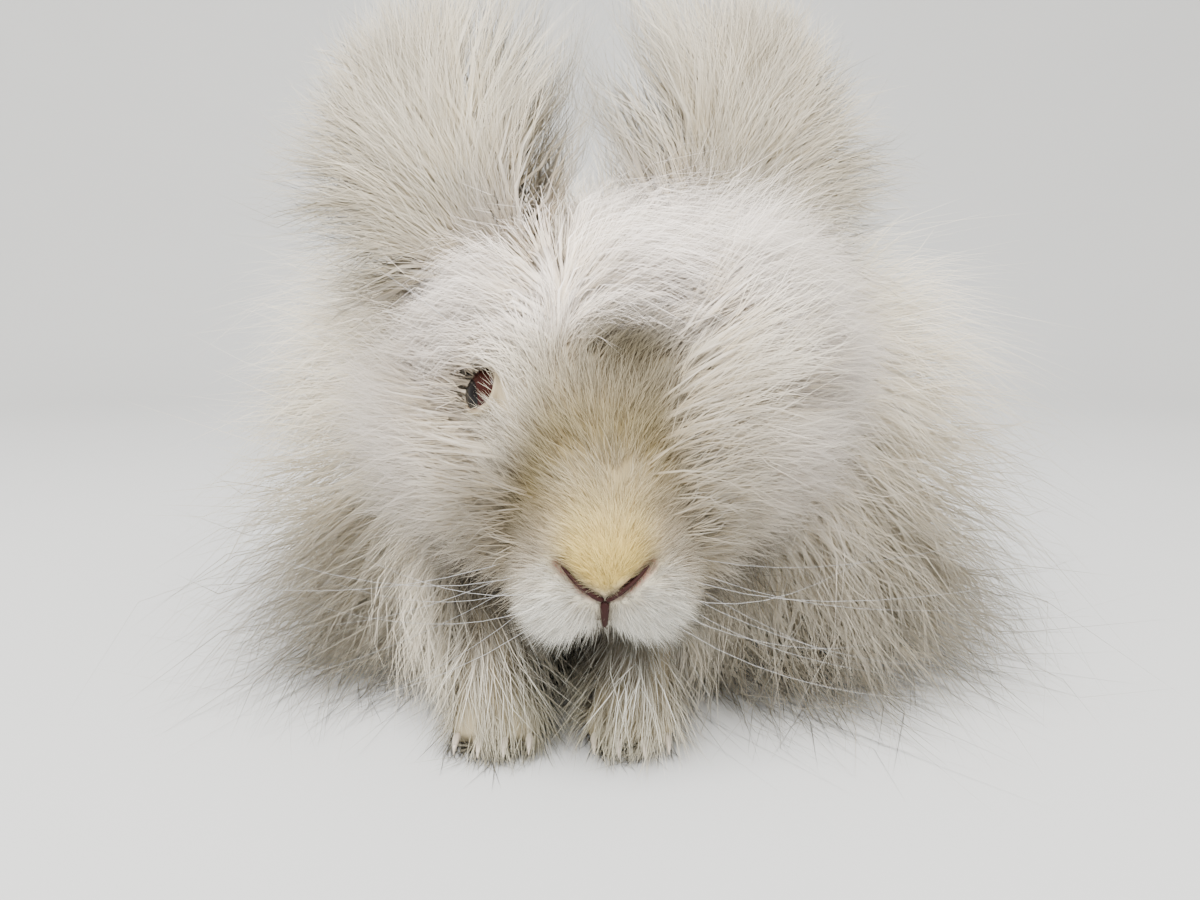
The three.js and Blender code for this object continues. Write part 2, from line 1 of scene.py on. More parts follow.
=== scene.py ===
import math

import bpy
import numpy as np
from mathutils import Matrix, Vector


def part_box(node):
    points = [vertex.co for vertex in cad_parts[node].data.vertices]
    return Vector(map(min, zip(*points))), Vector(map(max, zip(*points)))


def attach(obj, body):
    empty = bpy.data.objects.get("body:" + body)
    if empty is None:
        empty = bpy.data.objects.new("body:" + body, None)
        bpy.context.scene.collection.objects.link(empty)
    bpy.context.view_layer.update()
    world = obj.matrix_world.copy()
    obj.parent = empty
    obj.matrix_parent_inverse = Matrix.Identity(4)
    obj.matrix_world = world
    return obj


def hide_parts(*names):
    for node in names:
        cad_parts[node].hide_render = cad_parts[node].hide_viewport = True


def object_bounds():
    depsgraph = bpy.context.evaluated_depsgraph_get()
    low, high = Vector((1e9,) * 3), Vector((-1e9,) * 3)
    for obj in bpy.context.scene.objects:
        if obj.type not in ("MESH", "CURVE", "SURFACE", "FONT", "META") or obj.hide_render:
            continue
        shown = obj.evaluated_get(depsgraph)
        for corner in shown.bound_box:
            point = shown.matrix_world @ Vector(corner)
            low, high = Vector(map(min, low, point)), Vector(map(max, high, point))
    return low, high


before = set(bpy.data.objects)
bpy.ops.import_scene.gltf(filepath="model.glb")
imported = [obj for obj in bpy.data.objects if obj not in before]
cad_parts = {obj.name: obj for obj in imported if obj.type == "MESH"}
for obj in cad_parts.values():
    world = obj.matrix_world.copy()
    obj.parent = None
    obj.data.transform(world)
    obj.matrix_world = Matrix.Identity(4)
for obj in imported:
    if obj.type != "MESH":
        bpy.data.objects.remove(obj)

cad_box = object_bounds()

# Skin
# The rabbit's skin is one closed surface from nose to tail, with both ears and all four feet. It is laid up
# from rounded forms at their places in the body, fused, smoothed, and worked finer at the muzzle and round
# the eyes. It lies well inside the wool that grows from it.
MM = 0.001
NOSE = np.array((-9, -169, 50)) * MM  # where the two nostrils meet the lip
HEAD_LENGTH = 100  # mm, from the nose to the back of the skull
PITCH = math.radians(36)  # the skull's axis above the horizontal
SIDE = np.array((1.0, 0.0, 0.0))
BACK = np.array((0.0, math.cos(PITCH), math.sin(PITCH)))
UP = np.array((0.0, -math.sin(PITCH), math.cos(PITCH)))
BODY_CENTRE = np.array((0, 24, 78)) * MM
COAT = np.array((157, 147, 93, 76)) * MM  # half sizes of the wool's outline: side, along, up and down
SKIN = np.array((86, 98, 50, 56)) * MM  # the same for the skin of the trunk
APRON = 0.25  # how much further forward the low wool beside the forelegs reaches
FACE_FUR = 1.6  # mm, from the skin of the face to the outline of its short fur
VOXEL = 2.0 * MM  # the grain at which the forms are fused
norm = np.linalg.norm
outer = np.multiply.outer
FLESH = ["torso", "neck", "head", "ear_right", "ear_left", "foreleg_right", "foreleg_left",
         "hindleg_right", "hindleg_left", "tail"]


def unit(vectors):
    return vectors / np.maximum(norm(vectors, axis=-1, keepdims=True), 1e-12)


def smooth(low, high, value):
    share = np.clip((value - low) / (high - low), 0, 1)
    return share * share * (3 - 2 * share)


def wander(points, size, seed):
    """A slow, repeatable wandering number from about -1 to 1 over space."""
    turn = np.random.default_rng(seed).normal(0, 1, (4, 3)) / size
    shift = np.arange(4) * 1.7 + seed
    return np.sin(points @ turn.T + shift).sum(axis=1) / 2.4


def read_points(piece):
    flat = np.empty(len(piece.data.vertices) * 3)
    piece.data.vertices.foreach_get("co", flat)
    return flat.reshape(-1, 3)


def write_points(piece, points):
    piece.data.vertices.foreach_set("co", np.asarray(points, np.float32).ravel())
    piece.data.update()


def ball(place, around=40, along=28):
    """A ball whose every point d, a unit vector, is moved to place(d)."""
    bpy.ops.object.select_all(action="DESELECT")
    bpy.ops.mesh.primitive_uv_sphere_add(segments=around, ring_count=along, radius=1)
    piece = bpy.context.object
    write_points(piece, place(unit(read_points(piece))))
    return piece


def egg(centre, radii):
    return ball(lambda d: (np.array(centre) + d * np.array(radii)) * MM)


def on_head(h, x, v):
    """Places on the head in millimetres: h back from the nose, x to the side, v above the skull's axis."""
    return NOSE + MM * (outer(h, BACK) + outer(x, SIDE) + outer(v, UP))


def head_measures(points):
    away = (points - NOSE) / MM
    return away @ BACK, away[..., 0], away @ UP


HEAD_AT = (0, 8, 18, 32, 46, 60, 76, 90, 100)
HEAD_WIDTH = (16, 20.5, 24, 28.5, 33, 37, 38, 34, 27)
HEAD_TOP = (10, 16, 24, 30, 35, 37, 37, 33, 24)
HEAD_BOTTOM = (12, 16, 21, 27, 32, 34, 32, 27, 20)
# Swellings of the face: centre h, x, v, then reach and height
SWELLINGS = ((5, 11, -7.5, 8, 5.2), (8, 18, -9, 8, 1.5), (3, 0, 7, 6, 2), (17, 0, -19, 7, 3),
             (62, 27, -15, 22, 6), (50, 21, 25, 11, 3.5))
TIP_ROUND = 9  # mm of the head's length over which the muzzle rounds off
NAPE_ROUND = 24


def skull(d):
    h = (1 - d[:, 2]) / 2 * HEAD_LENGTH
    tip = np.sqrt(1 - (1 - np.minimum(h / TIP_ROUND, 1)) ** 2)
    nape = np.sqrt(1 - (1 - np.minimum((HEAD_LENGTH - h) / NAPE_ROUND, 1)) ** 2)
    around = unit(d[:, :2] + 1e-9)
    width = np.interp(h, HEAD_AT, HEAD_WIDTH) - FACE_FUR
    height = np.where(around[:, 1] > 0, np.interp(h, HEAD_AT, HEAD_TOP), np.interp(h, HEAD_AT, HEAD_BOTTOM))
    x = around[:, 0] * width * tip * nape
    v = around[:, 1] * (height - FACE_FUR) * tip * nape
    swell = sum(tall * np.exp(-((h - a) ** 2 + (np.abs(x) - b) ** 2 + (v - c) ** 2) / reach ** 2)
                for a, b, c, reach, tall in SWELLINGS)
    out = unit(np.stack([around[:, 0] * tip * nape, around[:, 1] * tip * nape, d[:, 2]], -1))
    return on_head(h - out[:, 2] * swell, x + out[:, 0] * swell, v + out[:, 1] * swell)


# How square the body's outline is, as powers, where 2 is an ellipse: in plan, and above and below its middle
PLAN = 2.7
DOMED = 2.15
BOXY = 4.5


def outline(d, half):
    """Where a ray from the middle of the body leaves a rounded box with these half sizes."""
    tall = np.where(d[..., 2] > 0, half[2], half[3])
    rise = np.where(d[..., 2] > 0, DOMED, BOXY)
    flat = (np.abs(d[..., 0] / half[0]) ** PLAN + np.abs(d[..., 1] / half[1]) ** PLAN) ** (rise / PLAN)
    places = d / ((flat + np.abs(d[..., 2] / tall) ** rise) ** (1 / rise))[..., None]
    low = smooth(0.2, 0.75, -places[..., 2] / half[3]) * smooth(0, 0.7, -places[..., 1] / half[1])
    beside = smooth(0.2, 0.5, np.abs(places[..., 0] / half[0] + 0.13))
    places[..., 1] -= APRON * half[1] * low * beside
    return BODY_CENTRE + places


def limb(points, width, height):
    """A limb along a path through a few places, in millimetres, with its half sizes at each of them."""
    points = np.array(points, float)
    at = np.linspace(0, 1, len(points))

    def place(d):
        share = (1 - d[:, 2]) / 2
        middle = np.stack([np.interp(share, at, points[:, k]) for k in range(3)], -1)
        ahead = np.stack([np.interp(share + 0.05, at, points[:, k]) for k in range(3)], -1)
        before = np.stack([np.interp(share - 0.05, at, points[:, k]) for k in range(3)], -1)
        along = unit(ahead - before)
        across = unit(np.cross(along, (0, 0, 1)))
        rise = np.cross(across, along)
        radial = norm(d[:, :2], axis=1, keepdims=True) + 1e-9
        turn = d[:, :2] / radial * radial ** 0.55
        return (middle + across * turn[:, :1] * np.interp(share, at, width)[:, None]
                + rise * turn[:, 1:] * np.interp(share, at, height)[:, None]) * MM

    return ball(place)


# The ears: base on the skull, the way each stands, and the way its hollow faces
EAR = {"length": 92, "half": 20, "thick": 4.2, "cup": 11, "root": 12}
EARS = {}
for ear, mirror, axis in (("right", -1, (-0.5, 0.38, 0.8)), ("left", 1, (0.33, 0.42, 0.84))):
    axis = unit(np.array(axis))
    facing = np.array((mirror * 0.42, -0.9, 0.1))
    facing = unit(facing - axis * (facing @ axis))
    EARS[ear] = {"base": on_head(88, mirror * 25, 24), "axis": axis, "open": facing,
                 "across": np.cross(axis, facing)}


def ear_place(ear, share, u, end):
    """A place on the ear's middle surface: share from base to tip, u from edge to edge."""
    half = EAR["half"] * np.interp(share, (0, 0.15, 0.4, 0.6, 0.8, 1), (0.5, 0.62, 0.95, 1, 0.86, 0.5))
    along = share * (EAR["length"] + EAR["root"]) - EAR["root"]
    hollow = EAR["cup"] * (1 - 0.45 * share) * (u * u - 0.5) * end
    return ear["base"] + MM * (outer(along, ear["axis"])
                               + outer(u * half * end, ear["across"])
                               + outer(hollow, ear["open"]))


def blade(ear):
    def place(d):
        share = (1 + d[:, 2]) / 2
        end = np.maximum(1 - d[:, 2] ** 2, 0) ** 0.3
        turn = unit(d[:, :2] + 1e-9)
        thick = turn[:, 1] * EAR["thick"] / 2 * end
        return ear_place(ear, share, turn[:, 0], end) + MM * outer(thick, ear["open"])

    return ball(place, 40, 40)


FOREPAWS = (-38, -2)  # mm, across the body
HINDPAWS = (-88, 88)
FORE_TIP = -149  # mm along the body, where the longest toes end
HIND_TIP = -46
TOES = (-9.6, -3.3, 3.3, 9.6)

parts = [
    ball(lambda d: outline(d, SKIN), 64, 40),
    ball(skull, 72, 72),
    egg((-5, -76, 98), (34, 36, 32)),
    egg((2, 130, 70), (13, 17, 18)),
    blade(EARS["right"]),
    blade(EARS["left"]),
]
for mirror in (-1, 1):
    parts.append(egg((mirror * 68, 78, 56), (30, 46, 38)))
    hind_path = [(mirror * x, y, z)
                 for x, y, z in ((88, HIND_TIP + 6, 8), (88, -8, 8), (84, 34, 11), (78, 72, 30))]
    parts.append(limb(hind_path, (9, 11, 11, 14), (6, 7, 8, 14)))
for mirror, x in zip((-1, 1), FOREPAWS):
    fore_path = [(x, FORE_TIP + 6, 8), (x, -136, 10), (x + mirror * 2, -124, 24), (x + mirror * 8, -108, 42),
                 (x + mirror * 22, -80, 56)]
    parts.append(limb(fore_path, (8, 11, 10, 11, 16), (6, 8, 9, 11, 16)))
for tip, paws in ((FORE_TIP, FOREPAWS), (HIND_TIP, HINDPAWS)):
    for x in paws:
        for across in TOES:
            parts.append(egg((x + across * 0.9, tip + 9 + 0.3 * abs(across), 5.6), (3.4, 7.4, 4.8)))

bpy.ops.object.select_all(action="DESELECT")
for part in parts:
    part.select_set(True)
skin = parts[0]
bpy.context.view_layer.objects.active = skin
bpy.ops.object.join()
skin.name = "skin"
bpy.ops.object.mode_set(mode="EDIT")
bpy.ops.mesh.select_all(action="SELECT")
bpy.ops.mesh.normals_make_consistent(inside=False)
bpy.ops.object.mode_set(mode="OBJECT")
fused = skin.modifiers.new("fused", "REMESH")
fused.mode = "VOXEL"
fused.voxel_size = VOXEL
bpy.ops.object.modifier_apply(modifier="fused")
evened = skin.modifiers.new("evened", "SMOOTH")
evened.iterations = 5
bpy.ops.object.modifier_apply(modifier="evened")

# The eyes sit in the head where the frame has them, looking sideways, a little forward and up.
EYES = {}
for eye, mirror in (("right", -1), ("left", 1)):
    low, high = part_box(f"eye_{eye}")
    look = unit(mirror * 0.88 * SIDE - 0.3 * BACK + 0.18 * UP)
    EYES[eye] = {"centre": np.array((low + high) / 2), "radius": (high - low).y / 2, "look": look,
                 "mirror": mirror}
LID_LONG = 4.6  # mm, half the length of the opening between the lids
LID_HIGH = 3.9
LID_RAISED = 2.8  # mm, how far the opening sits above the middle of the eye
LID_BACK = 0.8
LID_RIM = 1.1 * MM  # how far the rims stand off the eye
LID_SUNK = 1.2 * MM  # how far the skin behind the eye's front lies inside its surface


def eye_opening(eye, points):
    """How far places are from the middle of an eye's opening, 1 at the edges of its lids."""
    away = (points - eye["centre"]) / MM
    back = unit(BACK - eye["look"] * (BACK @ eye["look"]))
    up = unit(UP - eye["look"] * (UP @ eye["look"]))
    measure = np.hypot((away @ back - LID_BACK) / LID_LONG, (away @ up - LID_RAISED) / LID_HIGH)
    return np.where(away @ eye["look"] > 0, measure, 9)


# The muzzle and the rims of the eyes are divided finer, then shaped.
points = read_points(skin)
h, x, v = head_measures(points)
fine = (h < 30) & (np.abs(x) < 30)
for eye in EYES.values():
    fine |= eye_opening(eye, points) < 2.2
bpy.ops.object.mode_set(mode="EDIT")
bpy.ops.mesh.select_mode(type="VERT")
bpy.ops.mesh.select_all(action="DESELECT")
bpy.ops.object.mode_set(mode="OBJECT")
skin.data.vertices.foreach_set("select", fine)
bpy.ops.object.mode_set(mode="EDIT")
bpy.ops.mesh.subdivide(number_cuts=2, smoothness=0.6)
bpy.ops.object.mode_set(mode="OBJECT")

# Lines of the face, as places h, x, v on one side: the nostril's slit, the split lip and the mouth
NOSTRIL = ((-1.5, 0.4, 0.3), (-0.6, 3.5, 2.4), (1.6, 7.2, 5.0), (4.2, 10.6, 7.2))
PHILTRUM = ((-1.8, 0, 0.0), (-1.6, 0, -5.0), (1.2, 0, -14.0))
MOUTH = ((0.8, 0.2, -11.0), (3.5, 4.5, -13.2), (9.0, 9.5, -14.6), (16.0, 14.0, -14.0))


def line_places(line, mirror, count=24):
    line = np.array(line, float)
    at = np.linspace(0, len(line) - 1, count)
    h, x, v = (np.interp(at, np.arange(len(line)), line[:, k]) for k in range(3))
    return on_head(h, mirror * x, v)


def to_line(points, line):
    """The distance in millimetres from places to a line of the face, on either side of it."""
    nearest = np.full(len(points), 99.0)
    for mirror in (-1, 1):
        for spot in line_places(line, mirror):
            nearest = np.minimum(nearest, norm(points - spot, axis=1) / MM)
    return nearest


points = read_points(skin)
h, x, v = head_measures(points)
inward = unit(on_head(18, 0, 0) - points)
near = h < 40
GROOVES = ((NOSTRIL, 1.7, 1.3), (PHILTRUM, 2.2, 1.3), (MOUTH, 2.4, 1.6))  # with depth and width in mm
for line, deep, wide in GROOVES:
    groove = np.zeros(len(points))
    groove[near] = deep * np.exp(-(to_line(points[near], line) / wide) ** 2)
    points += inward * groove[:, None] * MM
for eye in EYES.values():
    opening = eye_opening(eye, points)
    away = points - eye["centre"]
    reach = norm(away, axis=1)
    rim = eye["radius"] + LID_RIM
    inside = eye["radius"] - LID_SUNK
    wanted = np.where(opening < 0.9, inside, rim + (reach - rim) * smooth(1.15, 2.0, opening))
    wanted = np.where(opening < 1.15, inside + (rim - inside) * smooth(0.88, 1.12, opening), wanted)
    points = np.where((opening < 2.0)[:, None], eye["centre"] + away * (wanted / reach)[:, None], points)
SOLE = 0.8 * MM  # the soles lie this far above the floor, under their fur
points[:, 2] = np.maximum(points[:, 2], SOLE)
write_points(skin, points)

# The skin is unwrapped once. Each tuft of the coat takes the place of its root on this map.
bpy.ops.object.select_all(action="DESELECT")
skin.select_set(True)
bpy.context.view_layer.objects.active = skin
skin.data.uv_layers.new(name="OFBake")
bpy.ops.object.mode_set(mode="EDIT")
bpy.ops.mesh.select_all(action="SELECT")
bpy.ops.uv.smart_project(angle_limit=math.radians(60), island_margin=0.004)
bpy.ops.object.mode_set(mode="OBJECT")
bpy.ops.object.shade_smooth()


# Colours of the coat, as light reflected: silver wool, tan on the nose, white lips, brown beside the muzzle,
# and two dark tones that carry painted shade
SILVER = np.array((0.79, 0.72, 0.59))
PALE = np.array((0.90, 0.825, 0.76))
TAN = np.array((0.76, 0.60, 0.21))
DUN = np.array((0.22, 0.178, 0.085))
# A near-black brown for dark fur that lies in painted shade: the forehead spot and the edges of the nose's
# slits.
DARK_FUR_AND_SHADE = np.array((0.06, 0.048, 0.025))
BROWN = np.array((0.10, 0.081, 0.044))
LIPS = np.array((0.97, 0.97, 0.89))
# A dark cream: the paws' own cream, darkened as painted shade.
SHADED_CREAM = np.array((0.34, 0.315, 0.23))


def blend(one, other, share):
    return one + (other - one) * np.asarray(share)[..., None]


def hump(value, centre, reach):
    return np.exp(-((value - centre) / reach) ** 2)


def coat_colour(roots):
    """The colour of the coat that grows at these places, with painted shade under the head and chin, round
    the eyes, on the forehead and on the forepaws. Each mark is a range of h, x and v in mm.
    """
    h, x, v = head_measures(roots)
    side = np.abs(x)
    face = (1 - smooth(96, 112, h)) * (1 - smooth(40, 58, side)) * smooth(-44, -35, v)
    colour = np.broadcast_to(SILVER, roots.shape)
    colour = blend(colour, PALE, 0.8 * face * smooth(46, 62, h))
    cheek = hump(side, 62, 26) * hump(v, 2, 26) * smooth(14, 34, h) * (1 - smooth(90, 110, h))
    colour = blend(colour, PALE, 0.8 * cheek)
    beside = hump(h, 20, 16) * smooth(9, 17, side) * (1 - smooth(30, 54, side)) * smooth(-16, -7, v)
    # The brown is stronger on the animal's right than on its left: painted shade on that side.
    colour = blend(colour, BROWN, (0.9 - 0.35 * smooth(-5, 12, x)) * face * beside)
    colour = blend(colour, DUN, 0.9 * face * hump(h, 28, 20) * (1 - smooth(11, 26, side)) * smooth(-2, 8, v))
    # Painted shade with darker fur: a near-black spot on the forehead, in the hollow under the parting of
    # the forelock.
    colour = blend(colour, DARK_FUR_AND_SHADE, 0.92 * face * hump(h, 48, 12) * hump(x, 7, 17) * smooth(0, 14, v))
    colour = blend(colour, TAN, face * (1 - smooth(3, 22, h)) * (1 - smooth(7, 16, side)) * smooth(-4, 3, v))
    lips = face * (1 - smooth(5, 17, h + 0.4 * side)) * (1 - smooth(0, 6, v - 0.42 * side))
    colour = blend(colour, LIPS, lips)
    mm = roots / MM
    # Painted shade: off the face, the wool under the head, over the upper forelegs and between them is
    # darkened, as the shadow under the chin.
    ahead = 1 - smooth(-95, -60, mm[..., 1])
    hollow = hump(mm[..., 0], -20, 30) * ahead * (1 - smooth(48, 72, mm[..., 2] - 0.25 * h))
    colour = colour * (1 - 0.9 * (1 - face) * hollow * smooth(9, 18, mm[..., 2]))[..., None]
    # Painted shadow: the fur under the chin is darkened.
    chin_shadow = face * (1 - smooth(-25, -13, v)) * (1 - smooth(40, 70, h)) * smooth(4, 10, h)
    colour = colour * (1 - 0.8 * chin_shadow[..., None])
    # Painted shade: the fur round each eye's opening is blended towards dun, as the shadow of its hollow.
    for eye in EYES.values():
        colour = blend(colour, DUN, 0.4 * (1 - smooth(1.2, 2.8, eye_opening(eye, roots))))
    # The forepaws darken to that cream towards the floor: partly their own colour, partly painted shade.
    paws = (1 - smooth(8, 24, mm[..., 2])) * hump(mm[..., 0], -20, 45) * ahead
    return blend(colour, SHADED_CREAM, 0.9 * paws)


def muzzle_colour(roots):
    """The same, darkened along the slits of the nose: partly darker fur, partly painted shade in the
    grooves.
    """
    edge = np.minimum(to_line(roots, NOSTRIL), to_line(roots, PHILTRUM))
    return blend(coat_colour(roots), 2 * DARK_FUR_AND_SHADE, 0.85 * np.exp(-(edge / 3.0) ** 2))


def paint(piece, colours):
    layer = piece.data.color_attributes.new("wool", "FLOAT_COLOR", "POINT")
    solid = np.ones((len(colours), 4), np.float32)
    solid[:, :3] = colours
    layer.data.foreach_set("color", solid.ravel())


# The skin has the coat's marks in a deeper, warmer tone, and is pink in the nose's slits and at the lids.
UNDER = np.array((0.72, 0.66, 0.55))
points = read_points(skin)
under = coat_colour(points) * UNDER
lines = np.minimum(to_line(points[h < 40], NOSTRIL), to_line(points[h < 40], PHILTRUM))
PINK = np.array((0.18, 0.075, 0.06))
under[h < 40] = blend(under[h < 40], PINK, 1 - smooth(1.0, 2.6, lines))
for eye in EYES.values():
    under = blend(under, PINK * 0.5, 1 - smooth(1.2, 1.6, eye_opening(eye, points)))
paint(skin, under)


class Number:
    """A value inside a material. Sums written with it add the material's maths nodes."""

    def __init__(self, paint, socket):
        self.paint, self.socket = paint, socket

    def maths(self, operation, *values):
        return self.paint.node("ShaderNodeMath", {"operation": operation}, dict(enumerate(values)))

    def __add__(self, other):
        return self.maths("ADD", self, other)

    def __mul__(self, other):
        return self.maths("MULTIPLY", self, other)

    def __truediv__(self, other):
        return self.maths("DIVIDE", self, other)

    def __pow__(self, other):
        return self.maths("POWER", self, other)

    __radd__ = __add__
    __rmul__ = __mul__


class Paint:
    """A material, or the sky, on one main shader, built from nodes that are asked for by type."""

    def __init__(self, name, sky=None, **constants):
        self.material = sky or bpy.data.materials.new(name)
        self.material.use_nodes = True
        self.tree = self.material.node_tree
        self.shader = self.tree.nodes["Background" if sky else "Principled BSDF"]
        for socket, value in constants.items():
            self.shader.inputs[socket.replace("_", " ")].default_value = value

    def node(self, kind, settings=None, inputs=None, output=0):
        made = self.tree.nodes.new(kind)
        for setting, value in (settings or {}).items():
            setattr(made, setting, value)
        for socket, value in (inputs or {}).items():
            self.feed(made.inputs[socket], value)
        return Number(self, made.outputs[output])

    def feed(self, socket, value):
        if isinstance(value, Number):
            self.tree.links.new(value.socket, socket)
        else:
            socket.default_value = value

    def surface(self, **inputs):
        for socket, value in inputs.items():
            self.feed(self.shader.inputs[socket.replace("_", " ")], value)

    def mix(self, share, one, other, blend_type="MIX"):
        return self.node("ShaderNodeMix", {"data_type": "RGBA", "blend_type": blend_type},
                         {0: share, 6: one, 7: other}, 2)

    def place(self):
        return self.node("ShaderNodeTexCoord", output=3)

    def noise(self, scale, detail=3, where=None):
        return self.node("ShaderNodeTexNoise",
                         inputs={"Vector": where or self.place(), "Scale": scale, "Detail": detail})


def wool_paint(name, roughness, streaks):
    """Hair coloured by its own attribute. Streaks divide each strand into finer hairs."""
    made = Paint(name, Roughness=roughness, Specular_IOR_Level=0)
    own = made.node("ShaderNodeAttribute", {"attribute_name": "wool"})
    if streaks:
        across = made.node("ShaderNodeAttribute", {"attribute_name": "hairs"}, output=1)
        tone = made.noise(1.0, 0, across) * 0.4 + 0.8
    else:
        tone = made.noise(70) * 0.3 + 0.85
    grey = made.node("ShaderNodeCombineColor", inputs={"Red": tone, "Green": tone, "Blue": tone})
    made.surface(Base_Color=made.mix(1.0, own, grey, "MULTIPLY"))
    return made.material


skin.data.materials.clear()
skin.data.materials.append(wool_paint("skin_under_wool", 0.8, False))
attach(skin, "root")
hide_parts(*FLESH)


# Coat
# Every hair or wisp is a closed, three-sided, tapering strand. Strands are set in tufts that share a lie.
# The long wool of the trunk, neck and haunches falls to one rounded outline that reaches the floor.
rng = np.random.default_rng(8)
skin.data.calc_loop_triangles()
triangles = np.empty(len(skin.data.loop_triangles) * 3, int)
skin.data.loop_triangles.foreach_get("vertices", triangles)
triangles = triangles.reshape(-1, 3)
loops = np.empty(len(triangles) * 3, int)
skin.data.loop_triangles.foreach_get("loops", loops)
loops = loops.reshape(-1, 3)
skin_map = np.empty(len(skin.data.loops) * 2)
skin.data.uv_layers["OFBake"].data.foreach_get("uv", skin_map)
skin_map = skin_map.reshape(-1, 2)
outs = np.empty(len(skin.data.vertices) * 3)
skin.data.vertices.foreach_get("normal", outs)
outs = outs.reshape(-1, 3)
corners = read_points(skin)[triangles]
areas = norm(np.cross(corners[:, 1] - corners[:, 0], corners[:, 2] - corners[:, 0]), axis=1) / 2
middles = corners.mean(axis=1)

PATCH = 0.003  # the size of one tuft's patch on the map
LIMIT = 190000  # triangles in one piece of the coat
GRAIN = 0.3 * MM  # the width of the fine hairs that streak each strand
FLOOR_GAP = 0.4 * MM


def ear_measures(ear, points):
    """Along the ear from its base and across it, in millimetres, and how far off its middle surface."""
    away = (points - ear["base"]) / MM
    return away @ ear["axis"], away @ ear["across"], away @ ear["open"]


def on_ear(ear, points):
    along, across, off = ear_measures(ear, points)
    return (along > 4) & (np.abs(across) < 28) & (np.abs(off) < 22)


def region(points):
    """1 on the head, 2 and 3 on the right and left ear, 4 on the feet and forearms, and 0 on the trunk."""
    h, x, v = head_measures(points)
    found = np.zeros(len(points), int)
    found[(h < 104) & (np.abs(x) < 48) & (np.abs(v) < 50) & (points[:, 1] < -0.08)] = 1
    mm = points / MM
    fore = (mm[:, 1] < -84) & (mm[:, 2] < 64) & (v < -30)
    hind = (mm[:, 2] < 19) & (np.abs(np.abs(mm[:, 0]) - 88) < 18) & (mm[:, 1] < 30)
    found[fore | hind] = 4
    for number, ear in ((2, "right"), (3, "left")):
        found[on_ear(EARS[ear], points)] = number
    return found


regions = region(middles)


def sample(count, weight):
    """Roots at random over the skin, more of them where weight is larger: place, way out and map place."""
    chance = areas * weight
    picked = rng.choice(len(areas), count, p=chance / chance.sum())
    a, b = rng.random((2, count))
    over = a + b > 1
    a[over], b[over] = 1 - a[over], 1 - b[over]
    share = np.stack([1 - a - b, a, b], -1)[:, :, None]
    return ((corners[picked] * share).sum(1), unit((outs[triangles[picked]] * share).sum(1)),
            (skin_map[loops[picked]] * share).sum(1))


def tufts(roots, outs, spots, tips, strands, spread, gather, stray):
    """Each root and tip becomes a tuft of strands, spread at the root and drawn together at the tip."""
    count = len(roots)
    along = tips - roots
    one = unit(np.cross(outs, along + 1e-9))
    two = np.cross(outs, one)
    angle = rng.random((count, strands)) * 2 * math.pi
    off = np.sqrt(rng.random((count, strands))) * spread
    shift = one[:, None] * (np.cos(angle) * off)[..., None] + two[:, None] * (np.sin(angle) * off)[..., None]
    length = rng.uniform(0.85, 1.05, (count, strands, 1))
    loose = rng.normal(0, 1, shift.shape) * (stray * norm(along, axis=1))[:, None, None]
    start = (roots[:, None] + shift).reshape(-1, 3)
    end = (roots[:, None] + along[:, None] * length + shift * gather + loose).reshape(-1, 3)
    return start, np.repeat(outs, strands, 0), np.repeat(spots, strands, 0), end


def body_normal(points, out):
    """The way out of the coat as a whole, which the light on a soft coat follows."""
    return unit((points - BODY_CENTRE) / (np.array((150, 145, 85)) * MM) ** 2)


def lock_bend(start, out, end, lift):
    """The middle handle of a strand's curve, which leaves the skin and then turns to its end."""
    way = end - start
    return start + out * norm(way, axis=1)[:, None] * lift + way * 0.25


def along_lock(start, bend, end, at):
    return (1 - at) ** 2 * start + 2 * at * (1 - at) * bend + at * at * end


# Ways that stay free of hair before the eyes: the eye, the way, and half the width and height in mm
SIGHTS = (("right", unit(np.array((0.0, -1, 0.1))), (1.2, 3.6)),
          ("right", EYES["right"]["look"], (4.8, 4.4)),
          ("left", EYES["left"]["look"], (5.2, 4.6)))


def clear_of_eye(middles):
    """Tells which hairs hang clear of both eyes from the side, and of the right one from in front too."""
    free = np.ones(middles.shape[1], bool)
    for eye, ahead, room in SIGHTS:
        across = unit(np.cross(ahead, UP))
        window = EYES[eye]["centre"] + UP * LID_RAISED * MM
        for one, other in zip(middles, middles[1:]):
            for share in (0.25, 0.5, 0.75, 1.0):
                away = (one + (other - one) * share - window) / MM
                beside = away @ across / room[0]
                above = away @ np.cross(across, ahead) / room[1]
                free &= (np.hypot(beside, above) > 1) | (away @ ahead < 0)
    return free


ROOM = 6.5 * MM  # how far the end of a hair's way may pass the frame's own box
CURL_ROOM = 10.4 * MM  # how far its curls may


def strands(name, start, out, spot, end, width, steps, colours, tone, soft, *shape, **look):
    """Closed strands from start to end, as pieces of the coat that stay under the limit of triangles."""
    size = LIMIT // (6 * steps - 2)
    width = np.broadcast_to(width, len(start))
    tone = np.broadcast_to(tone, (len(start), 1))
    for first in range(0, len(start), size):
        part = slice(first, first + size)
        strand_piece(f"{name}_{first // size + 1}", start[part], out[part], spot[part], end[part],
                     width[part], steps, colours, tone[part], soft, *shape, **look)


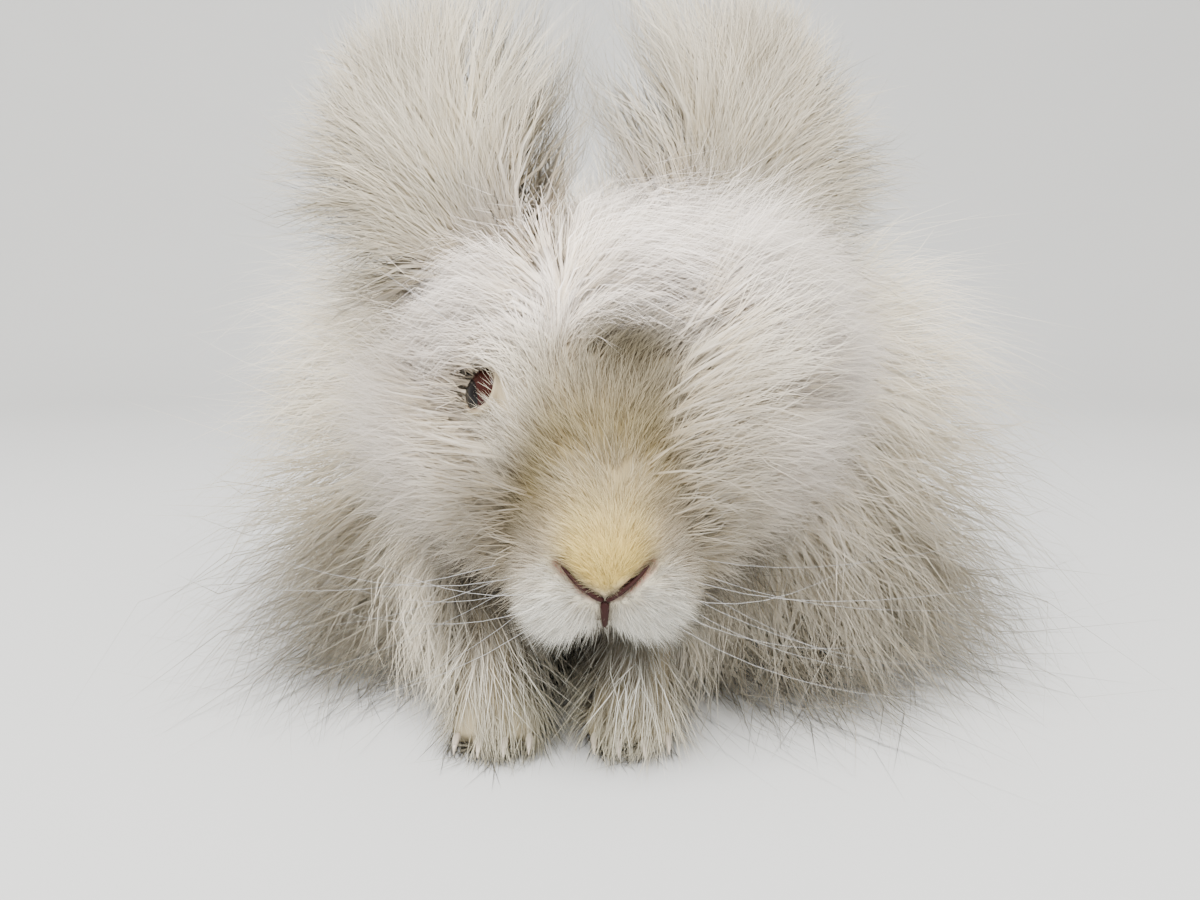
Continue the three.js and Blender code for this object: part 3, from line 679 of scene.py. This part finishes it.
def strand_piece(name, start, out, spot, end, width, steps, colours, tone, soft, lift=0.3, wave=0.06,
                 slot="wool", root=(0.8, 0.73, 0.6), relief=0.13, vary=0.04):
    root = np.array(root)
    way = end - start
    bend = lock_bend(start, out, end, lift)
    across = unit(np.cross(way, out) + 1e-9)
    phase = rng.random((len(start), 1)) * 2 * math.pi
    curl = rng.uniform(0.4, 1.0, (len(start), 1)) * wave * norm(way, axis=1)[:, None]
    t = np.linspace(0, 1, steps + 1) ** 0.9
    middles = np.stack([along_lock(start, bend, end, at) + across * curl * at * np.sin(phase + 4.5 * at)
                        + out * curl * 0.5 * at * np.cos(phase + 3.5 * at) for at in t])
    middles = np.clip(middles, np.array(cad_box[0]) - CURL_ROOM, np.array(cad_box[1]) + CURL_ROOM)
    free = clear_of_eye(middles)
    middles, start, out, spot, end = middles[:, free], start[free], out[free], spot[free], end[free]
    bend, across, width, count = bend[free], across[free], width[free], free.sum()
    tone = tone[free] * rng.normal(1, vary, (count, 1)) * (1 + 0.09 * wander(start / MM, 14, 21)[:, None])
    rings, normals, shades = [], [], []
    for step, (at, middle) in enumerate(zip(t, middles)):
        forward = unit(2 * (1 - at) * (bend - start) + 2 * at * (end - bend))
        face = unit(np.cross(across, forward))
        broad = width[:, None] * (0.75 + 0.5 * at) * (1 - at) ** 0.85 / 2
        general = soft(middle, out)
        shade = colours(middle) * tone * (root + (1 - root) * smooth(0.0, 0.8, np.array(at)))
        for turn in (0,) if step == steps else (90, 330, 210):
            c, s = math.cos(math.radians(turn)), math.sin(math.radians(turn))
            rings.append(middle + across * broad * c * 1.15 + face * broad * s * 0.6)
            normals.append(unit(general + relief * (across * c + face * s)))
            shades.append(shade)
    stride = 3 * steps + 1
    points = np.stack(rings, 1).reshape(-1, 3)
    points[:, 2] = np.maximum(points[:, 2], FLOOR_GAP)
    faces = [(0, 2, 1)]
    for step in range(steps):
        a = 3 * step
        b = a + 3
        for k in range(3):
            n = (k + 1) % 3
            if step == steps - 1:
                faces.append((a + k, a + n, b))
            else:
                faces += [(a + k, a + n, b + k), (a + n, b + n, b + k)]
    index = (np.arange(count)[:, None, None] * stride + np.array(faces)).reshape(-1)
    mesh = bpy.data.meshes.new(name)
    mesh.vertices.add(len(points))
    mesh.vertices.foreach_set("co", points.astype(np.float32).ravel())
    mesh.loops.add(len(index))
    mesh.loops.foreach_set("vertex_index", index.astype(np.int32))
    mesh.polygons.add(len(index) // 3)
    mesh.polygons.foreach_set("loop_start", np.arange(0, len(index), 3, dtype=np.int32))
    mesh.update(calc_edges=True)
    piece = bpy.data.objects.new(name, mesh)
    bpy.context.scene.collection.objects.link(piece)
    paint(piece, np.stack(shades, 1).reshape(-1, 3))
    ring = np.arange(stride)
    local = np.stack([ring % 3 / 2, (ring // 3) / steps], -1) * PATCH - PATCH / 2
    hairs = np.zeros((count, stride, 3), np.float32)
    hairs[..., 0] = ring % 3 * width[:, None] / GRAIN + rng.random((count, 1)) * 500
    hairs[..., 1] = (ring // 3) / steps * 1.5
    mesh.attributes.new("hairs", "FLOAT_VECTOR", "POINT").data.foreach_set("vector", hairs.ravel())
    flat = (np.clip(spot, PATCH, 1 - PATCH)[:, None] + local[None]).reshape(-1, 2)
    mesh.uv_layers.new(name="OFBake").data.foreach_set("uv", flat[index].astype(np.float32).ravel())
    mesh.normals_split_custom_set_from_vertices(np.stack(normals, 1).reshape(-1, 3))
    mesh.materials.append(WOOL)
    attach(piece, "root")


def some(low, high, count):
    return rng.uniform(low, high, count) * MM


WOOL = wool_paint("wool", 0.75, True)


def body_lie(d):
    top = np.maximum(d[:, 2], 0)
    lie = np.stack([0.6 * d[:, 0] + 0.35 * wander(d, 0.5, 3), 0.5 + 0.7 * top, -1.1 * (1 - top)], -1)
    return unit(lie - d * (lie * d).sum(1, keepdims=True))


def body_tip(roots, lean, short):
    """Where wool rooted at these places ends, on the rounded outline of the coat."""
    half = np.stack([np.full(len(roots), COAT[0]), np.full(len(roots), COAT[1]),
                     np.where(roots[:, 2] > BODY_CENTRE[2], COAT[2], COAT[3])], -1)
    d = unit((roots - BODY_CENTRE) / half)
    turned = d + body_lie(d) * lean[:, None]
    half[:, 2] = np.where(turned[:, 2] > 0, COAT[2], COAT[3])
    turned = unit(turned * half)
    tips = outline(turned, COAT) - turned * short[:, None]
    tips[:, 2] = np.maximum(tips[:, 2], 0.001 + 0.003 * rng.random(len(tips)))
    return tips


# Layers of long hair: share of the locks, hairs in a tuft, steps of a hair, width in mm, and reach
LAYERS = (("wool", 0.95, 8, 2, (0.26, 0.44), 0.78, 1.04), ("haze", 0.55, 4, 3, (0.17, 0.25), 0.86, 1.12))
SPREAD = 2.4  # mm, from the middle of a tuft to its outermost root


def long_hair(name, count, weight, ends, colours, soft, size=1.0, fan=9, lift=0.3, wave=0.2,
              leave=(0.3, 0.8), stray=0.16, patchy=0.05):
    """Broad soft locks, rooted in the skin, with finer wool and a haze of hairs that fan out of each."""
    roots, out, spots = sample(count, weight)
    full = ends(roots, out)
    tips = roots + (full - roots) * rng.uniform(0.45, 0.72, (count, 1))
    tone = rng.normal(1, patchy, (count, 1))
    width = some(2.5, 4.5, count) * size * np.clip(norm(tips - roots, axis=1) / 0.04, 0.2, 1.5)
    strands(f"{name}_locks", roots, out, spots, tips, width, 2, colours, tone, soft, lift, 0)
    bend = lock_bend(roots, out, tips, lift)
    for layer, share, each, steps, broad, shortest, longest in LAYERS:
        one = rng.permutation(count)[:int(count * share)]
        begun = along_lock(roots[one], bend[one], tips[one], rng.uniform(*leave, (len(one), 1)))
        end = roots[one] + (full[one] - roots[one]) * rng.uniform(shortest, longest, (len(one), 1))
        start, up, patch, end = tufts(begun, out[one], spots[one], end, each, SPREAD * MM, fan / SPREAD,
                                      stray)
        end = np.clip(end, np.array(cad_box[0]) - ROOM, np.array(cad_box[1]) + ROOM)
        strands(f"{name}_{layer}", start, up, patch, end, some(*broad, len(start)) * size, steps, colours,
                np.repeat(tone[one], each, 0), soft, lift, wave)


def body_ends(roots, out):
    return body_tip(roots, rng.uniform(0.3, 0.6, len(roots)), (rng.gamma(2, 2, len(roots)) - 4) * MM)


def skirt_ends(roots, out):
    """Low wool arches out and down to the floor all round."""
    plan = (roots - BODY_CENTRE) / COAT[:3] + rng.normal(0, 0.05, roots.shape)
    plan[:, 2] = rng.uniform(-0.9, -0.5, len(roots)) * norm(plan[:, :2], axis=1)
    tips = outline(unit(plan * COAT[[0, 1, 3]]), COAT)
    tips[:, 2] = some(1, 14, len(roots))
    return tips


low_trunk = (regions == 0) & (middles[:, 2] < 0.058)
trunk = (regions == 0) & (middles[:, 2] > 0.024)
facing = 1 + 0.5 * (middles[:, 1] < 0)
for name, count, where, ends, leave in (("body", 2200, trunk, body_ends, (0.55, 0.95)),
                                        ("skirt", 850, low_trunk, skirt_ends, (0.5, 0.95))):
    long_hair(name, count, where * facing, ends, coat_colour, body_normal, 1.05, 16, leave=leave, wave=0.26,
              stray=0.2)


# Face
# The face has short, fine fur that grows back and outward from the nose, down over the lips and around the
# eyes, and gets longer towards the cheeks and the forehead.
def lying(way, out, rise):
    """A way laid along the skin, then raised from it by a share of its length."""
    flat = unit(way - out * (way * out).sum(1, keepdims=True))
    return unit(flat + out * np.asarray(rise)[..., None])


def head_way(h, x, v):
    """Sums of the head's own directions, for places that need their own mixture."""
    return outer(h, BACK) + outer(x, SIDE) + outer(v, UP)


def head_normal(points, out):
    h, x, v = head_measures(points)
    return unit(unit(head_way((h - 50) / 62 ** 2, x / 44 ** 2, (v + 2) / 44 ** 2)) + 0.5 * out)


PART_AT = -12  # mm, the hair of the forehead is parted here, to the animal's right


def face_way(roots):
    h, x, v = head_measures(roots)
    mirror = np.sign(x)
    side = np.abs(x)
    outward = mirror * smooth(0, 9, side)
    one = np.ones_like(h)
    way = head_way(one, 0.4 * outward, 0 * one)
    lip = (1 - smooth(12, 26, h)) * (1 - smooth(-5, 3, v - 0.3 * side))
    way = way + (head_way(0.25 * one, 1.0 * outward, -0.75 * one) - way) * lip[:, None]
    cheek = smooth(24, 40, h) * (1 - smooth(6, 22, v)) * smooth(6, 18, side)
    way = way + (head_way(0.75 * one, 0.6 * outward, -0.4 * one) - way) * cheek[:, None]
    brow = smooth(38, 50, h) * smooth(8, 22, v)
    sweep = np.tanh((x - PART_AT) / 5)
    way = way + (head_way(0.55 * one, 0.9 * sweep, 0 * one) - way) * brow[:, None]
    for eye in EYES.values():
        away = (roots - eye["centre"]) / MM
        around = np.exp(-(norm(away, axis=1) / 15) ** 2)
        way = way + unit(away) * 0.9 * around[:, None]
    curl = 0.28 * wander(roots / MM, 9, 5)
    return way + np.cross(way, UP) * curl[:, None]


def face_normal(points, out):
    return unit(head_normal(points, out) + 1.2 * out)


def face_length(roots):
    h, x, v = head_measures(roots)
    side = np.abs(x)
    length = 4.2 + 4.5 * smooth(4, 30, h) + 5 * smooth(34, 52, h)
    lip = (1 - smooth(12, 26, h)) * (1 - smooth(-5, 3, v - 0.3 * side))
    length = length + (1.5 + 4.5 * smooth(7, 15, -v)) * lip
    slit = np.minimum(to_line(roots, NOSTRIL), to_line(roots, PHILTRUM))
    length = length * (0.34 + 0.66 * smooth(0.8, 4.5, slit))
    for eye in EYES.values():
        opening = eye_opening(eye, roots)
        length = np.where(opening < 9, length * (0.34 + 0.66 * smooth(1.2, 2.9, opening)), length)
    return length * MM


head_skin = (regions == 1).astype(float)
h, x, v = head_measures(middles)
for eye in EYES.values():
    head_skin[eye_opening(eye, middles) < 1.16] = 0
slit = np.minimum(to_line(middles, NOSTRIL), to_line(middles, PHILTRUM))
head_skin[slit < 1.5 - 0.08 * np.abs(x)] = 0
head_skin[(np.abs(x) < 1.3) & (v < -3) & (h < 9)] = 0
for kind, chosen, count, each, steps in (("short", h < 15, 2300, 9, 1), ("longer", h >= 15, 2200, 11, 2)):
    covered = (1 - 0.75 * smooth(56, 70, h)) * (1 - 0.5 * smooth(20, 40, h) * (1 - smooth(0, 12, v)))
    roots, out, spots = sample(count, head_skin * chosen * covered)
    length = face_length(roots)
    down = head_measures(roots)[2]
    rise = 0.36 + 0.6 * (1 - smooth(-13, -8, down)) * (kind == "short")
    tips = roots + lying(face_way(roots), out, rise) * (length * rng.uniform(0.7, 1.2, len(roots)))[:, None]
    start, out, spots, end = tufts(roots, out, spots, tips, each, 1.6 * MM, 1.0, 0.2)
    length = norm(end - start, axis=1)
    broad = (0.12 + 0.012 * length / MM) * rng.uniform(0.7, 1.2, len(start))
    agouti = np.where(rng.random((len(start), 1)) < 0.3, 0.62, 1.06)
    strands(f"face_fur_{kind}", start, out, spots, end, broad * MM, steps,
            muzzle_colour if kind == "short" else coat_colour, agouti, face_normal,
            0.18, 0.12, "face_fur", (0.66, 0.58, 0.5), 0.45, 0.08)

# The slits of the nose and the split of the lip are dark, moist lines that lie in their grooves.
moist = Paint("moist_nose", Roughness=0.6, Specular_IOR_Level=0.15, Base_Color=(0.03, 0.008, 0.007, 1))
heart = on_head(14, 0, -1)
for name, line, mirrors in (("nostril", NOSTRIL, (-1, 1)), ("lip_split", PHILTRUM, (1,)),
                            ("mouth", MOUTH, (-1, 1))):
    for mirror in mirrors:
        path = []
        for spot in line_places(line, mirror, 14):
            found = skin.ray_cast(heart, unit(spot - heart))[1]
            proud = 0.8 + (1.9 * len(path) / 13 if name == "lip_split" else 0)
            path.append((np.array(found) + unit(spot - heart) * proud * MM) / MM)
        broad = np.geomspace(1.5, 0.5, 14) if name == "lip_split" else np.linspace(1.6, 0.45, 14)
        piece = limb(path, broad, np.linspace(1.0, 0.35, 14))
        piece.name = f"{name}_{'right' if mirror < 0 else 'left'}"
        bpy.ops.object.shade_smooth()
        piece.data.materials.append(moist.material)
        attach(piece, "root")


# Long hair of the head
# The wool of the crown rises from the skull and lies along a dome: from its parting it sweeps over the left
# eye to one side and down to the other. The wool of the cheeks stands out sideways and back.
DOME = np.array((0, -95, 100)) * MM
DOME_RADII = np.array((66, 55, 54)) * MM


def crown_ends(roots, out):
    h, x, v = head_measures(roots)
    sweep = np.tanh((x - PART_AT) / 5)
    d = unit((roots - DOME) / DOME_RADII)
    back = 0.15 + 0.5 * smooth(60, 90, h)
    swirl = 0.25 * wander(roots / MM, 16, 11)
    way = outer(sweep, SIDE) + outer(back + swirl, BACK) - 0.1 * UP
    way = unit(way - d * (way * d).sum(1, keepdims=True))
    over = unit(d + way * rng.uniform(0.5, 0.9, (len(roots), 1)))
    stretch = 1.02 + 0.12 * smooth(0, 30, x) + rng.normal(0, 0.03, len(roots))
    grown = 0.3 + 0.7 * smooth(38, 60, h - 11 * (1 - smooth(10, 22, np.abs(x - 5))))
    return roots + (DOME + over * DOME_RADII * stretch[:, None] - roots) * grown[:, None]


def cheek_ends(roots, out):
    h, x, v = head_measures(roots)
    way = out * 0.55 + head_way(0.36 + 0 * h, 0.42 * np.sign(x), -0.16 - 0.45 * smooth(2, 20, -v))
    way = way + rng.normal(0, 0.1, roots.shape)
    reach = np.interp(h, (6, 14, 26, 40, 60, 80), (8, 15, 27, 37, 44, 46))
    return roots + unit(way) * reach[:, None] * MM


def crown_colour(roots):
    return blend(coat_colour(roots), PALE, 0.4 + 0.6 * smooth(46, 60, head_measures(roots)[0]))


def cheek_colour(roots):
    return blend(coat_colour(roots), PALE, np.full(roots.shape[:-1], 0.15))


h, x, v = head_measures(middles)
side = np.abs(x)
forehead = 1 - smooth(10, 22, np.abs(x - 5))
crown = (regions == 1) * smooth(0, 14, v) * smooth(40, 52, h - 11 * forehead)
long_hair("crown", 1350, crown, crown_ends, crown_colour, head_normal, 0.7, 9, 0.5, leave=(0.25, 0.85),
          stray=0.12)

top = np.where(x > 0, 32, 12)
cheeks = (regions == 1) * smooth(7, 20, h) * smooth(9, 17, side) * (1 - smooth(top - 8, top + 8, v))
for eye in EYES.values():
    if eye["mirror"] < 0:
        cheeks = cheeks * smooth(1.6, 2.8, eye_opening(eye, middles))
long_hair("cheek", 1600, cheeks, cheek_ends, cheek_colour, head_normal, 0.7, 9, leave=(0.2, 0.85))


# Ears
# Each ear is a cupped blade of the skin, hidden in a fan of long wisps that spread from its edges, with
# shorter fur between them.
def ear_ends(ear):
    def ends(roots, out):
        along, across, off = ear_measures(ear, roots)
        share = np.clip(along / EAR["length"], 0, 1)
        edge = np.clip(across / EAR["half"], -1, 1)
        fan = np.radians(np.interp(share, (0, 1), (105, 26))) * edge + rng.normal(0, 0.15, len(roots))
        way = (outer(np.cos(fan), ear["axis"]) + outer(np.sin(fan), ear["across"])
               + out * 0.12 + rng.normal(0, 0.07, roots.shape))
        length = (38 + 18 * np.abs(edge)) * (1 - 0.45 * smooth(0.5, 1, share))
        return roots + unit(way) * length[:, None] * MM

    return ends


# The ears' wool is darker than the coat by 0.7: partly their own silver-grey, partly painted shade.
def ear_grey_and_shade(roots):
    return 0.7 * coat_colour(roots)


def ear_normal(ear):
    middle = ear["base"] + ear["axis"] * 0.045
    return lambda points, out: unit(out + 0.7 * unit(points - middle))


def own_normal(points, out):
    return out


for number, (name, ear) in enumerate(EARS.items(), 2):
    long_hair(f"ear_{name}", 800, regions == number, ear_ends(ear), ear_grey_and_shade, ear_normal(ear), 0.8, 6,
              leave=(0.05, 0.7), stray=0.08, patchy=0.12)


# Ruff and chest
# The ruff is the long wool that stands out round the neck. The wool of the chest hangs from the forelegs and
# closes the gap between them.
def chest_ends(roots, out):
    inward = outer(-0.3 * np.sign(roots[:, 0]), SIDE)
    way = out * 0.35 + inward + np.array((0, -0.25, -1)) + rng.normal(0, 0.12, roots.shape)
    return roots + unit(way) * some(28, 44, len(roots))[:, None]


def ruff_ends(roots, out):
    way = out * 0.8 + np.array((0, -0.3, -0.25)) + rng.normal(0, 0.12, roots.shape)
    return roots + unit(way) * some(38, 54, len(roots))[:, None]


neck = (regions == 0) * (1 - smooth(-62, -45, middles[:, 1] / MM)) * smooth(30, 50, middles[:, 2] / MM)
long_hair("ruff", 380, neck, ruff_ends, coat_colour, body_normal)
high = smooth(28, 46, middles[:, 2] / MM)
long_hair("chest", 640, (regions == 4) * high, chest_ends, coat_colour, own_normal)


# Legs and feet
# The forelegs are furry columns with shaggy fur that falls forward over the toes. The hind feet lie flat,
# and only their toes come out of the wool.
toes = 1 + 1.5 * (1 - smooth(0.008, 0.02, middles[:, 2]))
roots, out, spots = sample(1350, (regions == 4) * toes)
mm = roots / MM
low = 1 - smooth(8, 24, mm[:, 2])
way = np.stack([0.15 * wander(mm, 14, 9), -0.2 - 0.8 * low, -1.0 + 0.2 * low], -1)
length = (13.5 + 10.5 * (1 - low)) * rng.uniform(0.6, 1.2, len(roots)) * MM
tips = roots + lying(way, out, 0.4) * length[:, None]
start, out, spots, end = tufts(roots, out, spots, tips, 9, 2.6 * MM, 1.2, 0.2)
strands("foot_fur", start, out, spots, end, some(0.22, 0.4, len(start)), 2, coat_colour, 1.0, own_normal,
        0.16, slot="face_fur", root=(0.55, 0.5, 0.42), relief=0.45, vary=0.08)


# Claws
# Sixteen small claws of horn curve forward and down out of the toes, four to a foot, and are almost lost in
# the fur.
horn = Paint("horn", Roughness=0.35, Coat_Weight=0.3)
tone = horn.noise(900, 2) * 0.3 + 0.35
horn.surface(Base_Color=horn.mix(tone, (0.30, 0.24, 0.18, 1), (0.62, 0.55, 0.46, 1)))
for node in [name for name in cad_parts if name.startswith("claw")]:
    low, high = (np.array(corner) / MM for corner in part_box(node))
    x, z = (low[0] + high[0]) / 2, (low[2] + high[2]) / 2
    path = [(x, high[1], z + 0.6), (x, high[1] - 3, z + 0.8), (x, low[1] + 1.8, z),
            (x, low[1] + 0.4, max(z - 1.4, 0.9))]
    piece = limb(path, (1.1, 1.0, 0.6, 0.2), (1.2, 1.1, 0.7, 0.2))
    piece.name = node + "_horn"
    bpy.ops.object.shade_smooth()
    piece.data.materials.append(horn.material)
    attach(piece, "root")
    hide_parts(node)


# Whiskers
# Whiskers are long, white, springy hairs. Nine grow from each lip pad, in three rows, and three more over
# each eye.
whisker_starts, whisker_ends = [], []
for mirror in (-1, 1):
    for row in range(3):
        for place in range(3):
            whisker_starts.append(on_head(6 + 5 * place, mirror * (10 + 3 * place), -9 + 3.5 * row))
            way = np.array((mirror, 0.2 - 0.15 * place, 0.3 * row - 0.5)) + rng.normal(0, 0.14, 3)
            whisker_ends.append(whisker_starts[-1] + unit(way) * rng.uniform(0.06, 0.105))
    for place in range(3):
        whisker_starts.append(on_head(46 + 3 * place, mirror * 24, 22))
        way = np.array((mirror * 0.7, -0.1, 0.6)) + rng.normal(0, 0.1, 3)
        whisker_ends.append(whisker_starts[-1] + unit(way) * 0.045)
whisker_starts = np.array(whisker_starts)
whisker_ends = np.array(whisker_ends)
ahead = unit(whisker_starts - on_head(30, 0, 0))
spots = np.full((len(ahead), 2), 0.5)
strands("whiskers", whisker_starts, ahead, spots, whisker_ends, 0.2 * MM, 10,
        lambda places: np.full(places.shape, 0.9), 1.0, own_normal, 0.25, 0.03, root=(1, 1, 1))


# Undercoat
# Broad locks of short, dense down fill the long wool of the trunk near the skin, so that little skin shows
# between them.
roots, out, spots = sample(2900, (regions == 0).astype(float))
tips = roots + (body_ends(roots, out) - roots) * rng.uniform(0.35, 0.5, (len(roots), 1))
strands("body_down", roots, out, spots, tips, some(3.2, 5, len(roots)), 2, coat_colour, 0.95, body_normal,
        0.3, 0)


# Whorl
# The long wool of the back parts at a whorl behind the left shoulder, where full wool stands up and all but
# closes the gap.
def whorl_ends(roots, out):
    way = out + rng.normal(0, 0.35, roots.shape)
    return roots + unit(way) * some(36, 50, len(roots))[:, None]


whorl = np.exp(-(norm(middles / MM - (48, 0, 116), axis=1) / 34) ** 2)
long_hair("whorl", 190, (regions == 0) * whorl, whorl_ends, coat_colour, body_normal, 1.05, 16)


# Eyes
# Each eye is a wet, dark ruby-brown ball that bulges a little in front. It sits in its socket in the skin,
# and only a slit of it shows between the furred lids.
EYE_BROWN = (0.028, 0.007, 0.005, 1)
PUPIL = (0.004, 0.003, 0.003, 1)
for name, eye in EYES.items():
    radius = eye["radius"] - 0.25 * MM
    look = eye["look"]

    def eyeball(d):
        bulge = 0.7 * MM * smooth(0.8, 1.0, d @ look)
        return eye["centre"] + d * (radius + bulge)[:, None]

    piece = ball(eyeball, 64, 48)
    piece.name = f"eyeball_{name}"
    bpy.ops.object.shade_smooth()
    wet = Paint(f"wet_eye_{name}", Roughness=0.1, Coat_Weight=0.12, Coat_Roughness=0.03,
                Specular_IOR_Level=0.15)
    away = wet.node("ShaderNodeVectorMath", {"operation": "SUBTRACT"}, {0: wet.place(), 1: eye["centre"]})
    ahead = wet.node("ShaderNodeVectorMath", {"operation": "DOT_PRODUCT"}, {0: away, 1: look}, 1) / radius
    black = wet.node("ShaderNodeMapRange", inputs={"Value": ahead, "From Min": 0.84, "From Max": 0.88})
    wet.surface(Base_Color=wet.mix(black, EYE_BROWN, PUPIL))
    piece.data.materials.append(wet.material)
    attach(piece, "root")
    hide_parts(f"eye_{name}")


# Stage
# A plain pale floor that curves up far off, all round. One round lamp hangs above and in front, and the
# walls and ceiling of the studio glow.
bpy.ops.object.select_all(action="DESELECT")
bpy.ops.mesh.primitive_grid_add(x_subdivisions=80, y_subdivisions=80, size=6)
ground = bpy.context.object
ground.name = "ground"
points = read_points(ground)
FLAT = 1.2  # metres from the middle to where the floor begins to rise
EDGE = 3.0
points[:, 2] = 0.5 * (np.clip(norm(points[:, :2], axis=1), FLAT, EDGE) - FLAT) ** 2
write_points(ground, points)
bpy.ops.object.shade_smooth()
matte = Paint("pale_ground", Roughness=0.9)
tone = matte.noise(3) * 0.03 + 0.52
grey = matte.node("ShaderNodeCombineColor", inputs={"Red": tone, "Green": tone, "Blue": tone * 0.98})
matte.surface(Base_Color=grey)
ground.data.materials.append(matte.material)

bpy.ops.object.light_add(type="AREA", location=(-0.15, -0.75, 1.1))
lamp = bpy.context.object
lamp.name = "key"
lamp.data.shape = "DISK"
lamp.data.size = 1.0
lamp.data.energy = 42
lamp.rotation_euler = (math.radians(34.8), 0, math.radians(-11.3))

# The glow is brightest above in front, low in front, and behind: way, narrowness and strength of each.
sky = Paint("studio", bpy.data.worlds.new("studio"), Color=(1.0, 0.99, 0.97, 1))
glow = 0.75
GLOWS = (((0.1, -0.65, 1.0), 3, 1.9), ((0.3, -1.3, 0.45), 3, 2.5), ((0.2, 0.9, 1.1), 4, 0.6))
for way, narrow, bright in GLOWS:
    facing = sky.node("ShaderNodeVectorMath", {"operation": "DOT_PRODUCT"},
                      {0: sky.node("ShaderNodeTexCoord"), 1: unit(np.array(way))}, 1)
    glow = glow + sky.node("ShaderNodeMath", {"operation": "MAXIMUM"}, {0: facing, 1: 0}) ** narrow * bright
sky.surface(Strength=glow)
sky.material.cycles.sampling_method = "NONE"
bpy.context.scene.world = sky.material

# The view is a phone held close in front of the nose and a little above it, tipped down by 8 degrees.
camera = bpy.data.objects.new("camera", bpy.data.cameras.new("camera"))
bpy.context.scene.collection.objects.link(camera)
camera.location = NOSE + np.array((-1.1, -198.2, 62.4)) * MM
camera.rotation_euler = (math.radians(90 - 8), 0, 0)
camera.data.lens = 27
camera.data.sensor_width = 36
camera.data.clip_start = 0.01
bpy.context.scene.camera = camera
